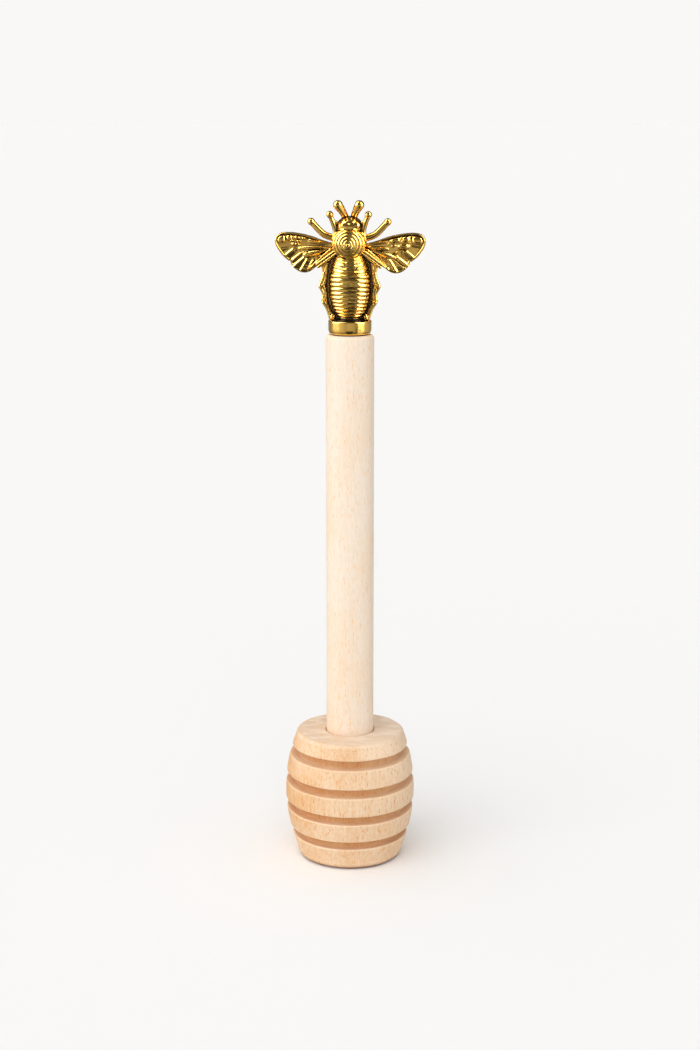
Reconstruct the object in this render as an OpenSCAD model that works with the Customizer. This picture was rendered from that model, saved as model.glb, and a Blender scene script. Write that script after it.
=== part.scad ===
// Honey dipper: a turned, grooved head on a dowel handle, with a bee on a collar at the top.
// It stands on the flat base of its head. +Z runs up the handle, and the bee faces -Y.

/* [Head] */
// Height of the grooved head
head_h = 33; // [28:0.5:40]
// Widest diameter of the barrel
head_d = 32.8; // [31:0.1:40]
// Height of the widest place above the base
belly_z = 17.5; // [14:0.5:20]
// Diameter of the barrel at its top
top_d = 26.7; // [22:0.1:30]
// Diameter of the flat base
base_d = 23.4; // [16:0.1:24]
// Height of the rounded corner between the base and the barrel
base_round_h = 2.2; // [1:0.1:3]
// Radius of the head's rounded upper rim
head_rim_r = 0.9; // [0.3:0.1:1.4]
// Number of grooves
groove_count = 4; // [3:1:5]
// Width of a groove
groove_w = 2.2; // [1.4:0.1:3]
// Depth of a groove below the barrel's surface
groove_depth = 2.15; // [1:0.05:3]
// Height of the lowest rib, from the base to the first groove
bottom_rib_h = 5.95; // [4.5:0.05:7]
// Height of the topmost rib, above the last groove
top_rib_h = 3.85; // [3:0.05:5]
// Radius of the broken edges at the grooves
groove_edge_r = 0.3; // [0.1:0.05:0.5]

/* [Handle] */
// Diameter of the dowel
handle_d = 12; // [11:0.1:14]
// Length of the whole dowel
handle_l = 121.5; // [80:0.5:220]
// Depth of the socket in the head
socket_depth = 20; // [12:0.5:24]
// Gap all round the dowel in its socket
socket_gap = 0.15; // [0.05:0.05:0.3]
// Radius of the dowel's rounded top edge
handle_round = 1; // [0.3:0.1:1.2]
// Chamfer on the dowel's lower edge
handle_chamfer = 0.6; // [0.2:0.1:1.2]

/* [Stud] */
// Outer diameter of both threads
stud_d = 4; // [3:0.1:4]
// Length of the stud in the handle
stud_in_handle = 15.5; // [8:0.5:24]
// Length of the stud in the bee
stud_in_bee = 8; // [5:0.5:9]
// Gap all round the stud in its holes
stud_gap = 0.05; // [0.02:0.01:0.1]
// Depth left free past each end of the stud
stud_end_gap = 0.5; // [0.3:0.1:1]
// Pitch of the wood thread
wood_pitch = 1.6; // [1.2:0.1:2]
// Depth of the wood thread
wood_thread = 0.55; // [0.3:0.05:0.7]
// Pitch of the fine thread
fine_pitch = 0.7; // [0.5:0.05:1]
// Depth of the fine thread
fine_thread = 0.35; // [0.2:0.05:0.4]

/* [Collar] */
// Diameter of the collar
collar_d = 10.7; // [10:0.1:11.5]
// Height of the collar
collar_h = 3.5; // [2.5:0.1:6]
// Radius of its rounded lower corner
collar_round = 1; // [0.3:0.1:1.6]
// Chamfer on its upper corner
collar_chamfer = 0.2; // [0.1:0.05:0.5]

/* [Bee body] */
// Front to back depth of the whole bee
bee_depth = 7.8; // [7.4:0.1:9]
// Width of the abdomen
abdomen_w = 10.2; // [9:0.1:11]
// Depth of the abdomen
abdomen_d = 7.2; // [6.6:0.1:8]
// Height of the abdomen's widest place above the collar
abdomen_mid_z = 8.5; // [7.5:0.1:9]
// Pitch of the abdomen's ridges
ridge_pitch = 1.06; // [0.9:0.01:1.6]
// Height of a ridge
ridge_h = 0.28; // [0.1:0.01:0.4]
// Radius of the round thorax
thorax_r = 4.2; // [3.9:0.05:4.5]
// Height of the thorax's middle above the collar
thorax_z = 18.5; // [18:0.1:19]
// Number of rings round the thorax's middle
ring_count = 6; // [3:1:7]
// Depth of the grooves between those rings
ring_h = 0.3; // [0.1:0.05:0.4]
// Width of the bee's head
face_w = 6.6; // [6:0.1:7.2]
// Height of the bee's head
face_h = 5; // [4.6:0.1:5.6]
// Radius of an eye
eye_r = 1.05; // [0.8:0.05:1.2]
// Radius of the legs and forelegs
leg_r = 0.68; // [0.5:0.01:0.85]
// Radius of the ball at a leg's end
toe_r = 0.88; // [0.7:0.01:1]
// Radius of an antenna at its root
antenna_r = 0.76; // [0.6:0.01:0.9]
// Radius of an antenna at its tip
antenna_tip_r = 1.16; // [0.9:0.01:1.3]
// Thickness of the web between the hind legs
web_t = 1.2; // [0.8:0.1:1.6]
// Diameter of the foot that stands on the collar
foot_d = 7.6; // [6.4:0.1:9]
// Height of that foot
foot_h = 0.7; // [0.4:0.1:1.2]

/* [Wings] */
// Thickness of a wing at its rim
wing_t = 1.5; // [1.2:0.1:2]
// Depth of the sunk field inside the rim, on each face
wing_sink = 0.3; // [0.15:0.05:0.4]
// Width of the raised rim
wing_rim = 0.6; // [0.4:0.05:0.9]
// Width of a raised vein
vein_w = 0.36; // [0.25:0.01:0.5]
// Length of the tongue that is let into the thorax
tongue_l = 1.6; // [1.2:0.1:1.9]
// Height of that tongue
tongue_h = 2; // [1.4:0.1:2.4]
// Gap all round the tongue in its slot
tongue_gap = 0.1; // [0.05:0.01:0.2]

/* [Hidden] */
round_fn = 96;
head_r = head_d / 2;
base_r = base_d / 2;
barrel_sag = (head_d - top_d) / 2;
barrel_curve_r = (pow(head_h - belly_z, 2) + pow(barrel_sag, 2)) / (2 * barrel_sag);
groove_pitch = (head_h - bottom_rib_h - top_rib_h - groove_w) / (groove_count - 1);
socket_r = handle_d / 2 + socket_gap;
socket_floor_z = head_h - socket_depth;
handle_top_z = socket_floor_z + handle_l;
collar_top_z = handle_top_z + collar_h;
stud_r = stud_d / 2;
stud_hole_r = stud_r + stud_gap;
pilot_depth = stud_in_handle + stud_end_gap;
bee_hole_depth = stud_in_bee + stud_end_gap;
// Angle at which a broken edge meets the barrel
edge_angle = 15;
// Gap between a wing's root and the thorax that it passes into
root_gap = 0.3;
// How far a cut reaches past the face that it opens
cut_over = 1;

// Heights and depths in the bee's own frame
abdomen_top_z = thorax_z - 0.5;
abdomen_sunk = 0.5;
abdomen_r = abdomen_w / 2;
face_z = thorax_z + 4.4;
face_lean = 0.4;
eye_x = 1.57;
eye_up = 0.35;
leg_y = -0.9;
dome_root = 1.5;
thorax_front = 5;
thorax_edge = 0.8;
back_y = bee_depth - thorax_front;
abdomen_front = abdomen_d - back_y;
thorax_back_r = thorax_r - root_gap;
tongue_x = thorax_r - tongue_l;
tongue_z = thorax_z - 0.7;
// How full the bee's rounded outlines are: 2 is an ellipse, and more is squarer
side_fullness = 2.3;
front_fullness = 3.5;
dome_fullness = 2.4;

// Radius of the barrel at the height z
function barrel_r(z) =
    head_r - barrel_curve_r + sqrt(pow(barrel_curve_r, 2) - pow(z - belly_z, 2));

// Points on a circle's arc in the plane, from one angle to another
function arc(centre, r, from, to, steps = 6) =
    [for (i = [0:steps]) let (a = from + (to - from) * i / steps) centre + r * [cos(a), sin(a)]];

// A smooth curve through the points p, given as points between each pair
function spline_at(a, b, c, d, t) =
    b + 0.5 * t * ((c - a) + t * ((2 * a - 5 * b + 4 * c - d) + t * (3 * b - a - 3 * c + d)));
function spline(p, steps = 4) =
    let (last = len(p) - 1)
    [for (i = [0:last - 1]) for (s = [0:steps - 1])
        spline_at(p[max(i - 1, 0)], p[i], p[i + 1], p[min(i + 2, last)], s / steps), p[last]];

function unit(v) = v / norm(v);

// Closes a stack of rings, each a list of as many points, into one solid
module skin(rings) {
    sides = len(rings[0]);
    top = len(rings) - 1;
    points = [for (ring = rings) each ring];
    walls = [for (i = [0:top - 1]) for (j = [0:sides - 1])
        let (a = i * sides + j, b = i * sides + (j + 1) % sides)
        each [[a, b + sides, b], [a, a + sides, b + sides]]];
    bottom_cap = [for (j = [0:sides - 1]) j];
    top_cap = [for (j = [sides - 1:-1:0]) top * sides + j];
    polyhedron(points, concat(walls, [bottom_cap, top_cap]));
}

// A round rod along a path that keeps roughly to the XZ plane, with a rounded end
module rod(path, radii, sides = 10) {
    last = len(path) - 1;
    along = [for (i = [0:last]) unit(path[min(i + 1, last)] - path[max(i - 1, 0)])];
    tip = along[last];
    tip_r = radii[last];
    tip_steps = 3;
    dome = [for (k = [1:tip_steps]) 90 * k / (tip_steps + 0.2)];
    centres = concat(path, [for (a = dome) path[last] + tip * tip_r * sin(a)]);
    sizes = concat(radii, [for (a = dome) tip_r * cos(a)]);
    aims = concat(along, [for (a = dome) tip]);
    skin([for (i = [0:len(centres) - 1])
        let (side = unit(cross([0, 1, 0], aims[i])), up = cross(aims[i], side))
        [for (j = [0:sides - 1])
            centres[i] + sizes[i] * (side * cos(360 * j / sides) + up * sin(360 * j / sides))]]);
}

module both_sides() {
    children();
    mirror([1, 0, 0]) children();
}

// Stretches a ball into an ellipsoid of the given radii
module egg(radii, fn = 28) {
    scale(radii) sphere(r = 1, $fn = fn);
}

// The head: one turned profile, whose grooves are cut square into the barrel

function groove_low(i) = bottom_rib_h + i * groove_pitch;
function groove_high(i) = groove_low(i) + groove_w;

// The barrel's surface between two heights
function barrel_run(from, to, steps = 6) =
    [for (i = [0:steps]) let (z = from + (to - from) * i / steps) [barrel_r(z), z]];

// One groove, from the broken edge below it to the broken edge above it
function groove_run(i) =
    let (
        e = groove_edge_r,
        low = groove_low(i),
        high = groove_high(i),
        floor_r = barrel_r((low + high) / 2) - groove_depth)
    concat(
        arc([barrel_r(low - e) - e, low - e], e, edge_angle, 90, 4),
        [[floor_r, low], [floor_r, high]],
        arc([barrel_r(high + e) - e, high + e], e, -90, -edge_angle, 4));

module dipper_head() {
    e = groove_edge_r;
    last = groove_count - 1;
    rim_z = head_h - head_rim_r;
    foot_r = barrel_r(base_round_h);
    corner = [for (a = [0:15:75]) [base_r + (foot_r - base_r) * sin(a), base_round_h * (1 - cos(a))]];
    ribs = [for (i = [0:last]) each concat(
        barrel_run(i == 0 ? base_round_h : groove_high(i - 1) + e, groove_low(i) - e),
        groove_run(i))];
    color("burlywood") difference() {
        rotate_extrude($fn = round_fn)
            polygon(concat(
                [[0, 0]],
                corner,
                ribs,
                barrel_run(groove_high(last) + e, rim_z),
                arc([barrel_r(rim_z) - head_rim_r, rim_z], head_rim_r, edge_angle, 90),
                [[0, head_h]]));
        translate([0, 0, socket_floor_z])
            cylinder(r = socket_r, h = socket_depth + cut_over, $fn = round_fn);
    }
}

// The handle: a dowel from the socket's floor up to the collar

module handle() {
    r = handle_d / 2;
    c = handle_chamfer;
    color("wheat") translate([0, 0, socket_floor_z]) difference() {
        rotate_extrude($fn = round_fn)
            polygon(concat(
                [[0, 0], [r - c, 0], [r, c]],
                arc([r - handle_round, handle_l - handle_round], handle_round, 0, 90),
                [[0, handle_l]]));
        translate([0, 0, handle_l - pilot_depth])
            cylinder(r = stud_hole_r, h = pilot_depth + cut_over, $fn = round_fn);
    }
}

// The stud: a wood thread below, a plain shank through the collar and a fine thread above

// The rings of a thread's profile, between two heights
function thread(from, to, pitch, depth) =
    let (turns = floor((to - from) / pitch))
    [for (i = [0:turns - 1]) each [
        [stud_r - depth, from + i * pitch],
        [stud_r, from + (i + 0.5) * pitch]],
        [stud_r - depth, from + turns * pitch]];

module finial_stud() {
    low = handle_top_z - stud_in_handle;
    high = collar_top_z + stud_in_bee;
    point_h = 2;
    wood_shank = 1;
    fine_shank = 0.5;
    color("silver") rotate_extrude($fn = 48)
        polygon(concat(
            [[0, low]],
            thread(low + point_h, handle_top_z - wood_shank, wood_pitch, wood_thread),
            [[stud_r, handle_top_z], [stud_r, collar_top_z]],
            thread(collar_top_z + fine_shank, high - fine_shank, fine_pitch, fine_thread),
            [[stud_r - 2 * fine_thread, high], [0, high]]));
}

module collar() {
    r = collar_d / 2;
    c = collar_chamfer;
    color("goldenrod") translate([0, 0, handle_top_z]) rotate_extrude($fn = round_fn)
        polygon(concat(
            [[stud_hole_r, 0]],
            arc([r - collar_round, collar_round], collar_round, -90, 0),
            [[r, collar_h - c], [r - c, collar_h], [stud_hole_r, collar_h]]));
}

// The bee: its own frame stands on the collar's middle, with its face towards -Y

// Half the abdomen's width or depth as a share, at the height z above the collar
function abdomen_share(z, fullness) =
    let (reach = z < abdomen_mid_z ? abdomen_mid_z + abdomen_sunk : abdomen_top_z - abdomen_mid_z)
    pow(1 - pow(abs(z - abdomen_mid_z) / reach, fullness), 1 / fullness);

// One section of the abdomen: ridged in front and at the sides, plain behind
function abdomen_ring(z, sides = 28) =
    let (
        ridge = ridge_h * abs(sin(180 * z / ridge_pitch)),
        half_w = abdomen_r * abdomen_share(z, side_fullness) - ridge_h + ridge,
        front = abdomen_front * abdomen_share(z, front_fullness) - ridge_h + ridge,
        back = back_y * abdomen_share(z, front_fullness))
    [for (i = [0:sides - 1]) let (a = 360 * i / sides)
        [half_w * cos(a), (sin(a) < 0 ? front : back) * sin(a), z]];

module abdomen() {
    step = ridge_pitch / 5;
    skin([for (z = [0:step:abdomen_top_z - 2 * step]) abdomen_ring(z)]);
}

// The thorax: a round body with a ringed dome on its front
module thorax() {
    pitch = thorax_r / ring_count;
    apex = thorax_front - dome_root;
    dome = [for (i = [0:ring_count * 4]) let (r = thorax_r * i / (ring_count * 4))
        [r, dome_root + apex * pow(1 - pow(r / thorax_r, dome_fullness), 1 / dome_fullness)
            + ring_h * (abs(cos(180 * r / pitch)) - 1) * (1 - pow(r / thorax_r, 4))]];
    translate([0, 0, thorax_z]) rotate([90, 0, 0]) {
        rotate_extrude($fn = 40)
            polygon(concat([[0, 0]], dome, [[thorax_back_r, 0]]));
        rotate_extrude($fn = 40)
            polygon([
                [0, -back_y],
                [thorax_back_r - thorax_edge, -back_y],
                [thorax_back_r, thorax_edge - back_y],
                [thorax_back_r, dome_root],
                [0, dome_root]]);
    }
}

module face() {
    translate([0, -face_lean, face_z])
        egg([face_w / 2, back_y + face_lean, face_h / 2]);
    both_sides() translate([eye_x, -back_y, face_z + eye_up])
        sphere(r = eye_r, $fn = 16);
}

module antenna() {
    root = [0.85, -1.4, face_z + 1.9];
    rod([root, root + [0.7, -0.7, 1.6], root + [1.75, -1.5, 3.5]],
        [antenna_r, antenna_r * 1.04, antenna_tip_r]);
}

// The small forked leg beside the head, which rises from the shoulder
module foreleg() {
    shoulder = [thorax_back_r - 0.5, -0.8, thorax_z + 1.6];
    root = [thorax_back_r - 0.45, -1.2, thorax_z + 3.6];
    elbow = root + [0.45, -0.3, 1.6];
    ball = root + [1.25, -0.7, 3.75];
    rod([shoulder, root, elbow, ball], leg_r * [1.2, 1, 1, 0.92]);
    translate(ball) sphere(r = toe_r, $fn = 16);
    rod([[face_w / 2 - 0.5, -1.5, face_z + 1], elbow + [0.25, 0, 0.7]], leg_r * [0.6, 0.6]);
}

module middle_leg() {
    root = [thorax_back_r - 0.5, -1, thorax_z + 1.55];
    ball = root + [5.95, -0.2, 4.05];
    rod([root, root + [2, 0, 0.55], root + [3.5, -0.1, 1.45], ball], leg_r * [1.1, 1.1, 1.1, 1]);
    translate(ball) sphere(r = toe_r, $fn = 16);
}

// The knees and ankles of a hind leg, from the thorax down to the collar. Each place has its
// distance beside the abdomen, its depth, its height as a share of the thorax's, and its girth
hind_leg_joints = [
    [1.2, leg_y, 0.724, 1],
    [1.3, leg_y, 0.611, 0.85],
    [1.85, leg_y, 0.46, 1.12],
    [1.3, leg_y, 0.33, 0.85],
    [1.35, leg_y, 0.254, 1.05],
    [0.35, leg_y, 0.13, 0.8],
    [-0.5, leg_y, 0.045, 0.95]];
hind_leg_run = [for (p = spline(hind_leg_joints, 2))
    [abdomen_r + p[0], p[1], thorax_z * p[2], leg_r * p[3]]];
knee = [abdomen_r + 2.8, leg_y - 0.6, thorax_z * 0.724];

module hind_leg() {
    rod([for (p = hind_leg_run) [p[0], p[1], p[2]]], [for (p = hind_leg_run) 0.94 * p[3]]);
    rod([[thorax_back_r - 0.4, leg_y - 0.5, thorax_z - 1.8], knee], leg_r * [0.8, 0.8]);
}

// The dark web that closes the space between the hind legs and the abdomen
module web() {
    inset = leg_r / 5;
    edge = [for (p = hind_leg_joints) [abdomen_r + p[0] - inset, thorax_z * p[2] + inset / 4]];
    armpit = [thorax_back_r - 0.6, thorax_z - 2];
    outline = concat(
        [[0, 0], [edge[len(edge) - 1][0], 0]],
        [for (i = [len(edge) - 1:-1:0]) edge[i]],
        [armpit + [0.5, 0], armpit + [-2, 0.3], [0, armpit[1]]]);
    translate([0, web_t / 2, 0]) rotate([90, 0, 0]) linear_extrude(web_t) {
        polygon(outline);
        mirror([1, 0]) polygon(outline);
    }
}

module bee_body() {
    slot_l = thorax_back_r - tongue_x + tongue_gap;
    slot_t = wing_t + 2 * tongue_gap;
    slot_h = tongue_h + 2 * tongue_gap;
    color("goldenrod") translate([0, 0, collar_top_z]) difference() {
        // The sculpted pieces, joined and held to the casting's exact depth
        resize([0, bee_depth, 0]) union() {
            abdomen();
            thorax();
            face();
            web();
            cylinder(d = foot_d, h = foot_h, $fn = 48);
            both_sides() {
                antenna();
                foreleg();
                middle_leg();
                hind_leg();
            }
        }
        translate([0, 0, -cut_over])
            cylinder(r = stud_hole_r, h = bee_hole_depth + cut_over, $fn = round_fn);
        both_sides() translate([tongue_x - tongue_gap, -slot_t / 2, tongue_z - slot_h / 2])
            cube([slot_l + cut_over, slot_t, slot_h]);
    }
}

// The wings: a fore wing and a hind wing in one plate, let into the thorax's side by a tongue.
// Their points are measured from the thorax's edge, at the height of its middle.

fore_wing = [
    [0, 0.35], [2.4, 1], [4.9, 1.9], [7, 2.45], [9, 2.8], [10.8, 2.95],
    [12.5, 2.85], [13.7, 2.25], [14.3, 1.1], [14.1, -0.4], [13.2, -1.85], [12.2, -3.05], [10.9, -4.1]];
hind_wing = [
    [10.6, -4], [10.3, -4.9], [9.7, -5.7], [8.5, -6.6], [7.1, -6.95], [5.7, -6.65], [4.4, -5.7],
    [3.2, -4.75], [1.6, -3.2], [0, -1.75]];
wing_root = [0.4, -0.8];
vein_ends = [
    [12.6, 1.9], [13.4, 0.4], [12.7, -1.3], [11.6, -2.6], [10.1, -3.6],
    [9.2, -5.1], [7.9, -6.1], [6.4, -6.1], [4.8, -5.3]];

module wing_outline() {
    polygon(concat(spline(fore_wing, 3), spline(hind_wing, 3)));
}

module vein(from, to) {
    run = to - from;
    translate(from) rotate(atan2(run[1], run[0]))
        translate([0, -vein_w / 2]) square([norm(run), vein_w]);
}

// The sunk field of one face, with its veins left standing
module wing_field() {
    difference() {
        offset(delta = -wing_rim) wing_outline();
        for (end = vein_ends)
            vein(wing_root, end);
    }
}

module wing() {
    color("goldenrod") translate([0, 0, collar_top_z]) rotate([90, 0, 0])
        translate([0, 0, -wing_t / 2]) {
            translate([thorax_r, thorax_z, 0]) difference() {
                linear_extrude(wing_t) wing_outline();
                translate([0, 0, wing_t - wing_sink]) linear_extrude(wing_sink + cut_over) wing_field();
                translate([0, 0, -cut_over]) linear_extrude(wing_sink + cut_over) wing_field();
            }
            translate([tongue_x, tongue_z - tongue_h / 2, 0])
                cube([tongue_l + wing_rim, tongue_h, wing_t]);
        }
}

// Left and right are the viewer's, who looks at the bee's face
module wing_right() {
    wing();
}

module wing_left() {
    mirror([1, 0, 0]) wing();
}

dipper_head();
handle();
finial_stud();
collar();
bee_body();
wing_left();
wing_right();
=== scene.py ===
"""A honey dipper: a grooved beech head on a dowel handle, with a gilt bee on a collar at the top.

Sizes are millimetres and angles are degrees, unless a name or comment says otherwise. The dipper
stands on the floor at the origin, +Z runs up its handle, and the bee faces -Y.
"""

import logging
import math
from abc import ABC, abstractmethod
from collections.abc import Callable, Sequence
from dataclasses import dataclass, field
from enum import Enum

import bpy
import numpy as np
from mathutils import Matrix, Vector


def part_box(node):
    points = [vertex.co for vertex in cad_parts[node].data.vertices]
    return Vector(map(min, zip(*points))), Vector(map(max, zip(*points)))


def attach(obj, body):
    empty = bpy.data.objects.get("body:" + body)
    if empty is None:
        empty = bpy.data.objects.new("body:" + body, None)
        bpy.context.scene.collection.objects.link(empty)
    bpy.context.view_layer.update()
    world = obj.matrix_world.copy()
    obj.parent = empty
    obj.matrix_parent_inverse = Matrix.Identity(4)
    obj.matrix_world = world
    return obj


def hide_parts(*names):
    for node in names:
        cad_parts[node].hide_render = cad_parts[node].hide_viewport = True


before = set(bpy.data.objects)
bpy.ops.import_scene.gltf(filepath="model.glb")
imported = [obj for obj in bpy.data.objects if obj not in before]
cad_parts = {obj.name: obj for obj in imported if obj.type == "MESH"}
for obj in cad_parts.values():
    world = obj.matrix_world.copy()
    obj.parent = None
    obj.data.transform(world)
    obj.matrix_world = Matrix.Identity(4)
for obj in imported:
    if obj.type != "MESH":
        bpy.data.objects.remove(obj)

LOG = logging.getLogger("honey_dipper")
MM = 0.001

Array = np.ndarray
Point = tuple[float, float, float]
Flat = tuple[float, float]
Colour = tuple[float, float, float]


def smooth_step(low: float, high: float, x: Array) -> Array:
    """Rises smoothly from 0 at low to 1 at high."""
    t = np.clip((x - low) / (high - low), 0.0, 1.0)
    return t * t * (3.0 - 2.0 * t)


def linear(red: float, green: float, blue: float) -> Colour:
    """Turns a colour as a screen shows it, 0 to 255, into linear light.

    Args:
        red: Red, 0 to 255.
        green: Green, 0 to 255.
        blue: Blue, 0 to 255.

    Returns:
        The three linear values, 0 to 1.
    """
    shares = (c / 255.0 for c in (red, green, blue))
    return tuple(c / 12.92 if c <= 0.04045 else ((c + 0.055) / 1.055) ** 2.4 for c in shares)


# Shader trees


class Value:
    """A number, colour or vector in a node tree, on which operators add Math nodes."""

    def __init__(self, tree: "Tree", socket: bpy.types.NodeSocket) -> None:
        """Keeps the tree and the socket that the value comes out of."""
        self.tree = tree
        self.socket = socket

    def __add__(self, other: "Value | float") -> "Value":
        """Gives self + other."""
        return self.tree.math("ADD", self, other)

    def __sub__(self, other: "Value | float") -> "Value":
        """Gives self - other."""
        return self.tree.math("SUBTRACT", self, other)

    def __rsub__(self, other: float) -> "Value":
        """Gives other - self."""
        return self.tree.math("SUBTRACT", other, self)

    def __mul__(self, other: "Value | float") -> "Value":
        """Gives self * other."""
        return self.tree.math("MULTIPLY", self, other)

    def __truediv__(self, other: "Value | float") -> "Value":
        """Gives self / other."""
        return self.tree.math("DIVIDE", self, other)

    __radd__ = __add__
    __rmul__ = __mul__

    def at_least(self, other: "Value | float") -> "Value":
        """Gives the larger of the two."""
        return self.tree.math("MAXIMUM", self, other)

    def rise(self, low: float, high: float) -> "Value":
        """Gives a smooth step between two levels.

        Args:
            low: The level where the step gives 0, which may be the larger of the two.
            high: The level where it gives 1.

        Returns:
            The step, 0 to 1.
        """
        return self.tree.value(
            "ShaderNodeMapRange",
            "Result",
            {"interpolation_type": "SMOOTHSTEP"},
            {"Value": self, "From Min": low, "From Max": high},
        )


Input = Value | float | Sequence[float]


class Tree:
    """A node tree that is being written."""

    def __init__(self, tree: bpy.types.NodeTree) -> None:
        """Empties the tree."""
        self.tree = tree
        tree.nodes.clear()

    def node(self, kind: str, settings: dict | None = None, inputs: dict | None = None) -> bpy.types.Node:
        """Adds one node.

        Args:
            kind: The node's type.
            settings: Its settings, set first; stops are a ramp's (place, level or colour) pairs.
            inputs: A number, colour or Value for each socket, by name or by number.

        Returns:
            The node.
        """
        made = self.tree.nodes.new(kind)
        for name, setting in (settings or {}).items():
            if name == "stops":
                elements = made.color_ramp.elements
                while len(elements) < len(setting):
                    elements.new(1.0)
                for element, (place, level) in zip(elements, setting):
                    element.position = place
                    element.color = (*(level if isinstance(level, tuple) else (level,) * 3), 1.0)
            else:
                setattr(made, name, setting)
        for key, given in (inputs or {}).items():
            socket = made.inputs[key]
            if isinstance(given, Value):
                self.tree.links.new(given.socket, socket)
            elif socket.type == "RGBA":
                socket.default_value = (*given, 1.0)
            else:
                socket.default_value = given
        return made

    def value(
        self, kind: str, output: str | int, settings: dict | None = None, inputs: dict | None = None
    ) -> Value:
        """Adds one node and gives one of its outputs."""
        return Value(self, self.node(kind, settings, inputs).outputs[output])

    def math(self, operation: str, *values: "Value | float") -> Value:
        """Adds a Math node."""
        return self.value("ShaderNodeMath", 0, {"operation": operation}, dict(enumerate(values)))

    def mix(
        self,
        share: "Value | float",
        first: "Value | Colour",
        second: "Value | Colour",
        blend: str = "MIX",
    ) -> Value:
        """Mixes two colours.

        Args:
            share: 0 gives the first and 1 the second.
            first: A colour.
            second: Another.
            blend: The Mix node's way of blending.

        Returns:
            The mixed colour.
        """
        settings = {"data_type": "RGBA", "blend_type": blend}
        return self.value("ShaderNodeMix", 2, settings, {"Factor": share, 6: first, 7: second})

    def tint(self, colour: "Value | Colour", by: "Value | Colour", share: "Value | float" = 1.0) -> Value:
        """Multiplies a colour by another, as far as the share says."""
        return self.mix(share, colour, by, "MULTIPLY")

    def stretched(self, vector: Value, by: Point, plus: "Value | Point") -> Value:
        """Gives a vector times a stretch for each axis, plus a shift."""
        inputs = {0: vector, 1: by, 2: plus}
        return self.value("ShaderNodeVectorMath", 0, {"operation": "MULTIPLY_ADD"}, inputs)

    def place(self, stretch: Point, shift: Point = (0.0, 0.0, 0.0)) -> Value:
        """Gives the place on the object in millimetres, times a stretch for each axis, plus a shift."""
        here = self.value("ShaderNodeTexCoord", "Object")
        return self.stretched(here, tuple(s / MM for s in stretch), shift)

    def axes(self, vector: Value) -> list[Value]:
        """Gives a vector's x, y and z."""
        parts = self.node("ShaderNodeSeparateXYZ", None, {0: vector})
        return [Value(self, output) for output in parts.outputs]

    def red(self, colour: Value) -> Value:
        """Gives the red share of a colour."""
        return self.value("ShaderNodeSeparateColor", 0, None, {0: colour})

    def noise(self, place: Value, detail: float = 2.0, roughness: float = 0.5) -> Value:
        """Gives smooth noise, about 0.5 on average, with one lump to each unit of the place."""
        inputs = {"Vector": place, "Scale": 1.0, "Detail": detail, "Roughness": roughness}
        return self.value("ShaderNodeTexNoise", 0, None, inputs)

    def attribute(self, name: str) -> Value:
        """Reads a number that the mesh holds at each vertex."""
        return self.value("ShaderNodeAttribute", "Fac", {"attribute_name": name})

    def bump(self, height: Value, distance: float, strength: float = 1.0) -> Value:
        """Gives the normal of a surface raised by height times a distance in millimetres."""
        inputs = {"Height": height, "Distance": distance * MM, "Strength": strength}
        return self.value("ShaderNodeBump", 0, None, inputs)


def new_material(name: str, sockets: Callable[[Tree], dict[str, Input]]) -> bpy.types.Material:
    """Makes a material with one Principled shader.

    Args:
        name: The material's name.
        sockets: A function that writes the nodes and gives the shader's inputs.

    Returns:
        The material.
    """
    material = bpy.data.materials.new(name)
    material.use_nodes = True
    tree = Tree(material.node_tree)
    shader = tree.value("ShaderNodeBsdfPrincipled", 0, None, sockets(tree))
    tree.node("ShaderNodeOutputMaterial", None, {"Surface": shader})
    return material


# Finishes


@dataclass(frozen=True)
class Finish(ABC):
    """A finish of one or more pieces.

    A field that ends in per_mm holds the number of a noise's lumps to a millimetre, along each axis.
    """

    name: str

    def material(self) -> bpy.types.Material:
        """Makes the material."""
        return new_material(self.name, self._sockets)

    @abstractmethod
    def _sockets(self, tree: Tree) -> dict[str, Input]:
        """Writes the nodes and gives the shader's inputs."""


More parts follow.
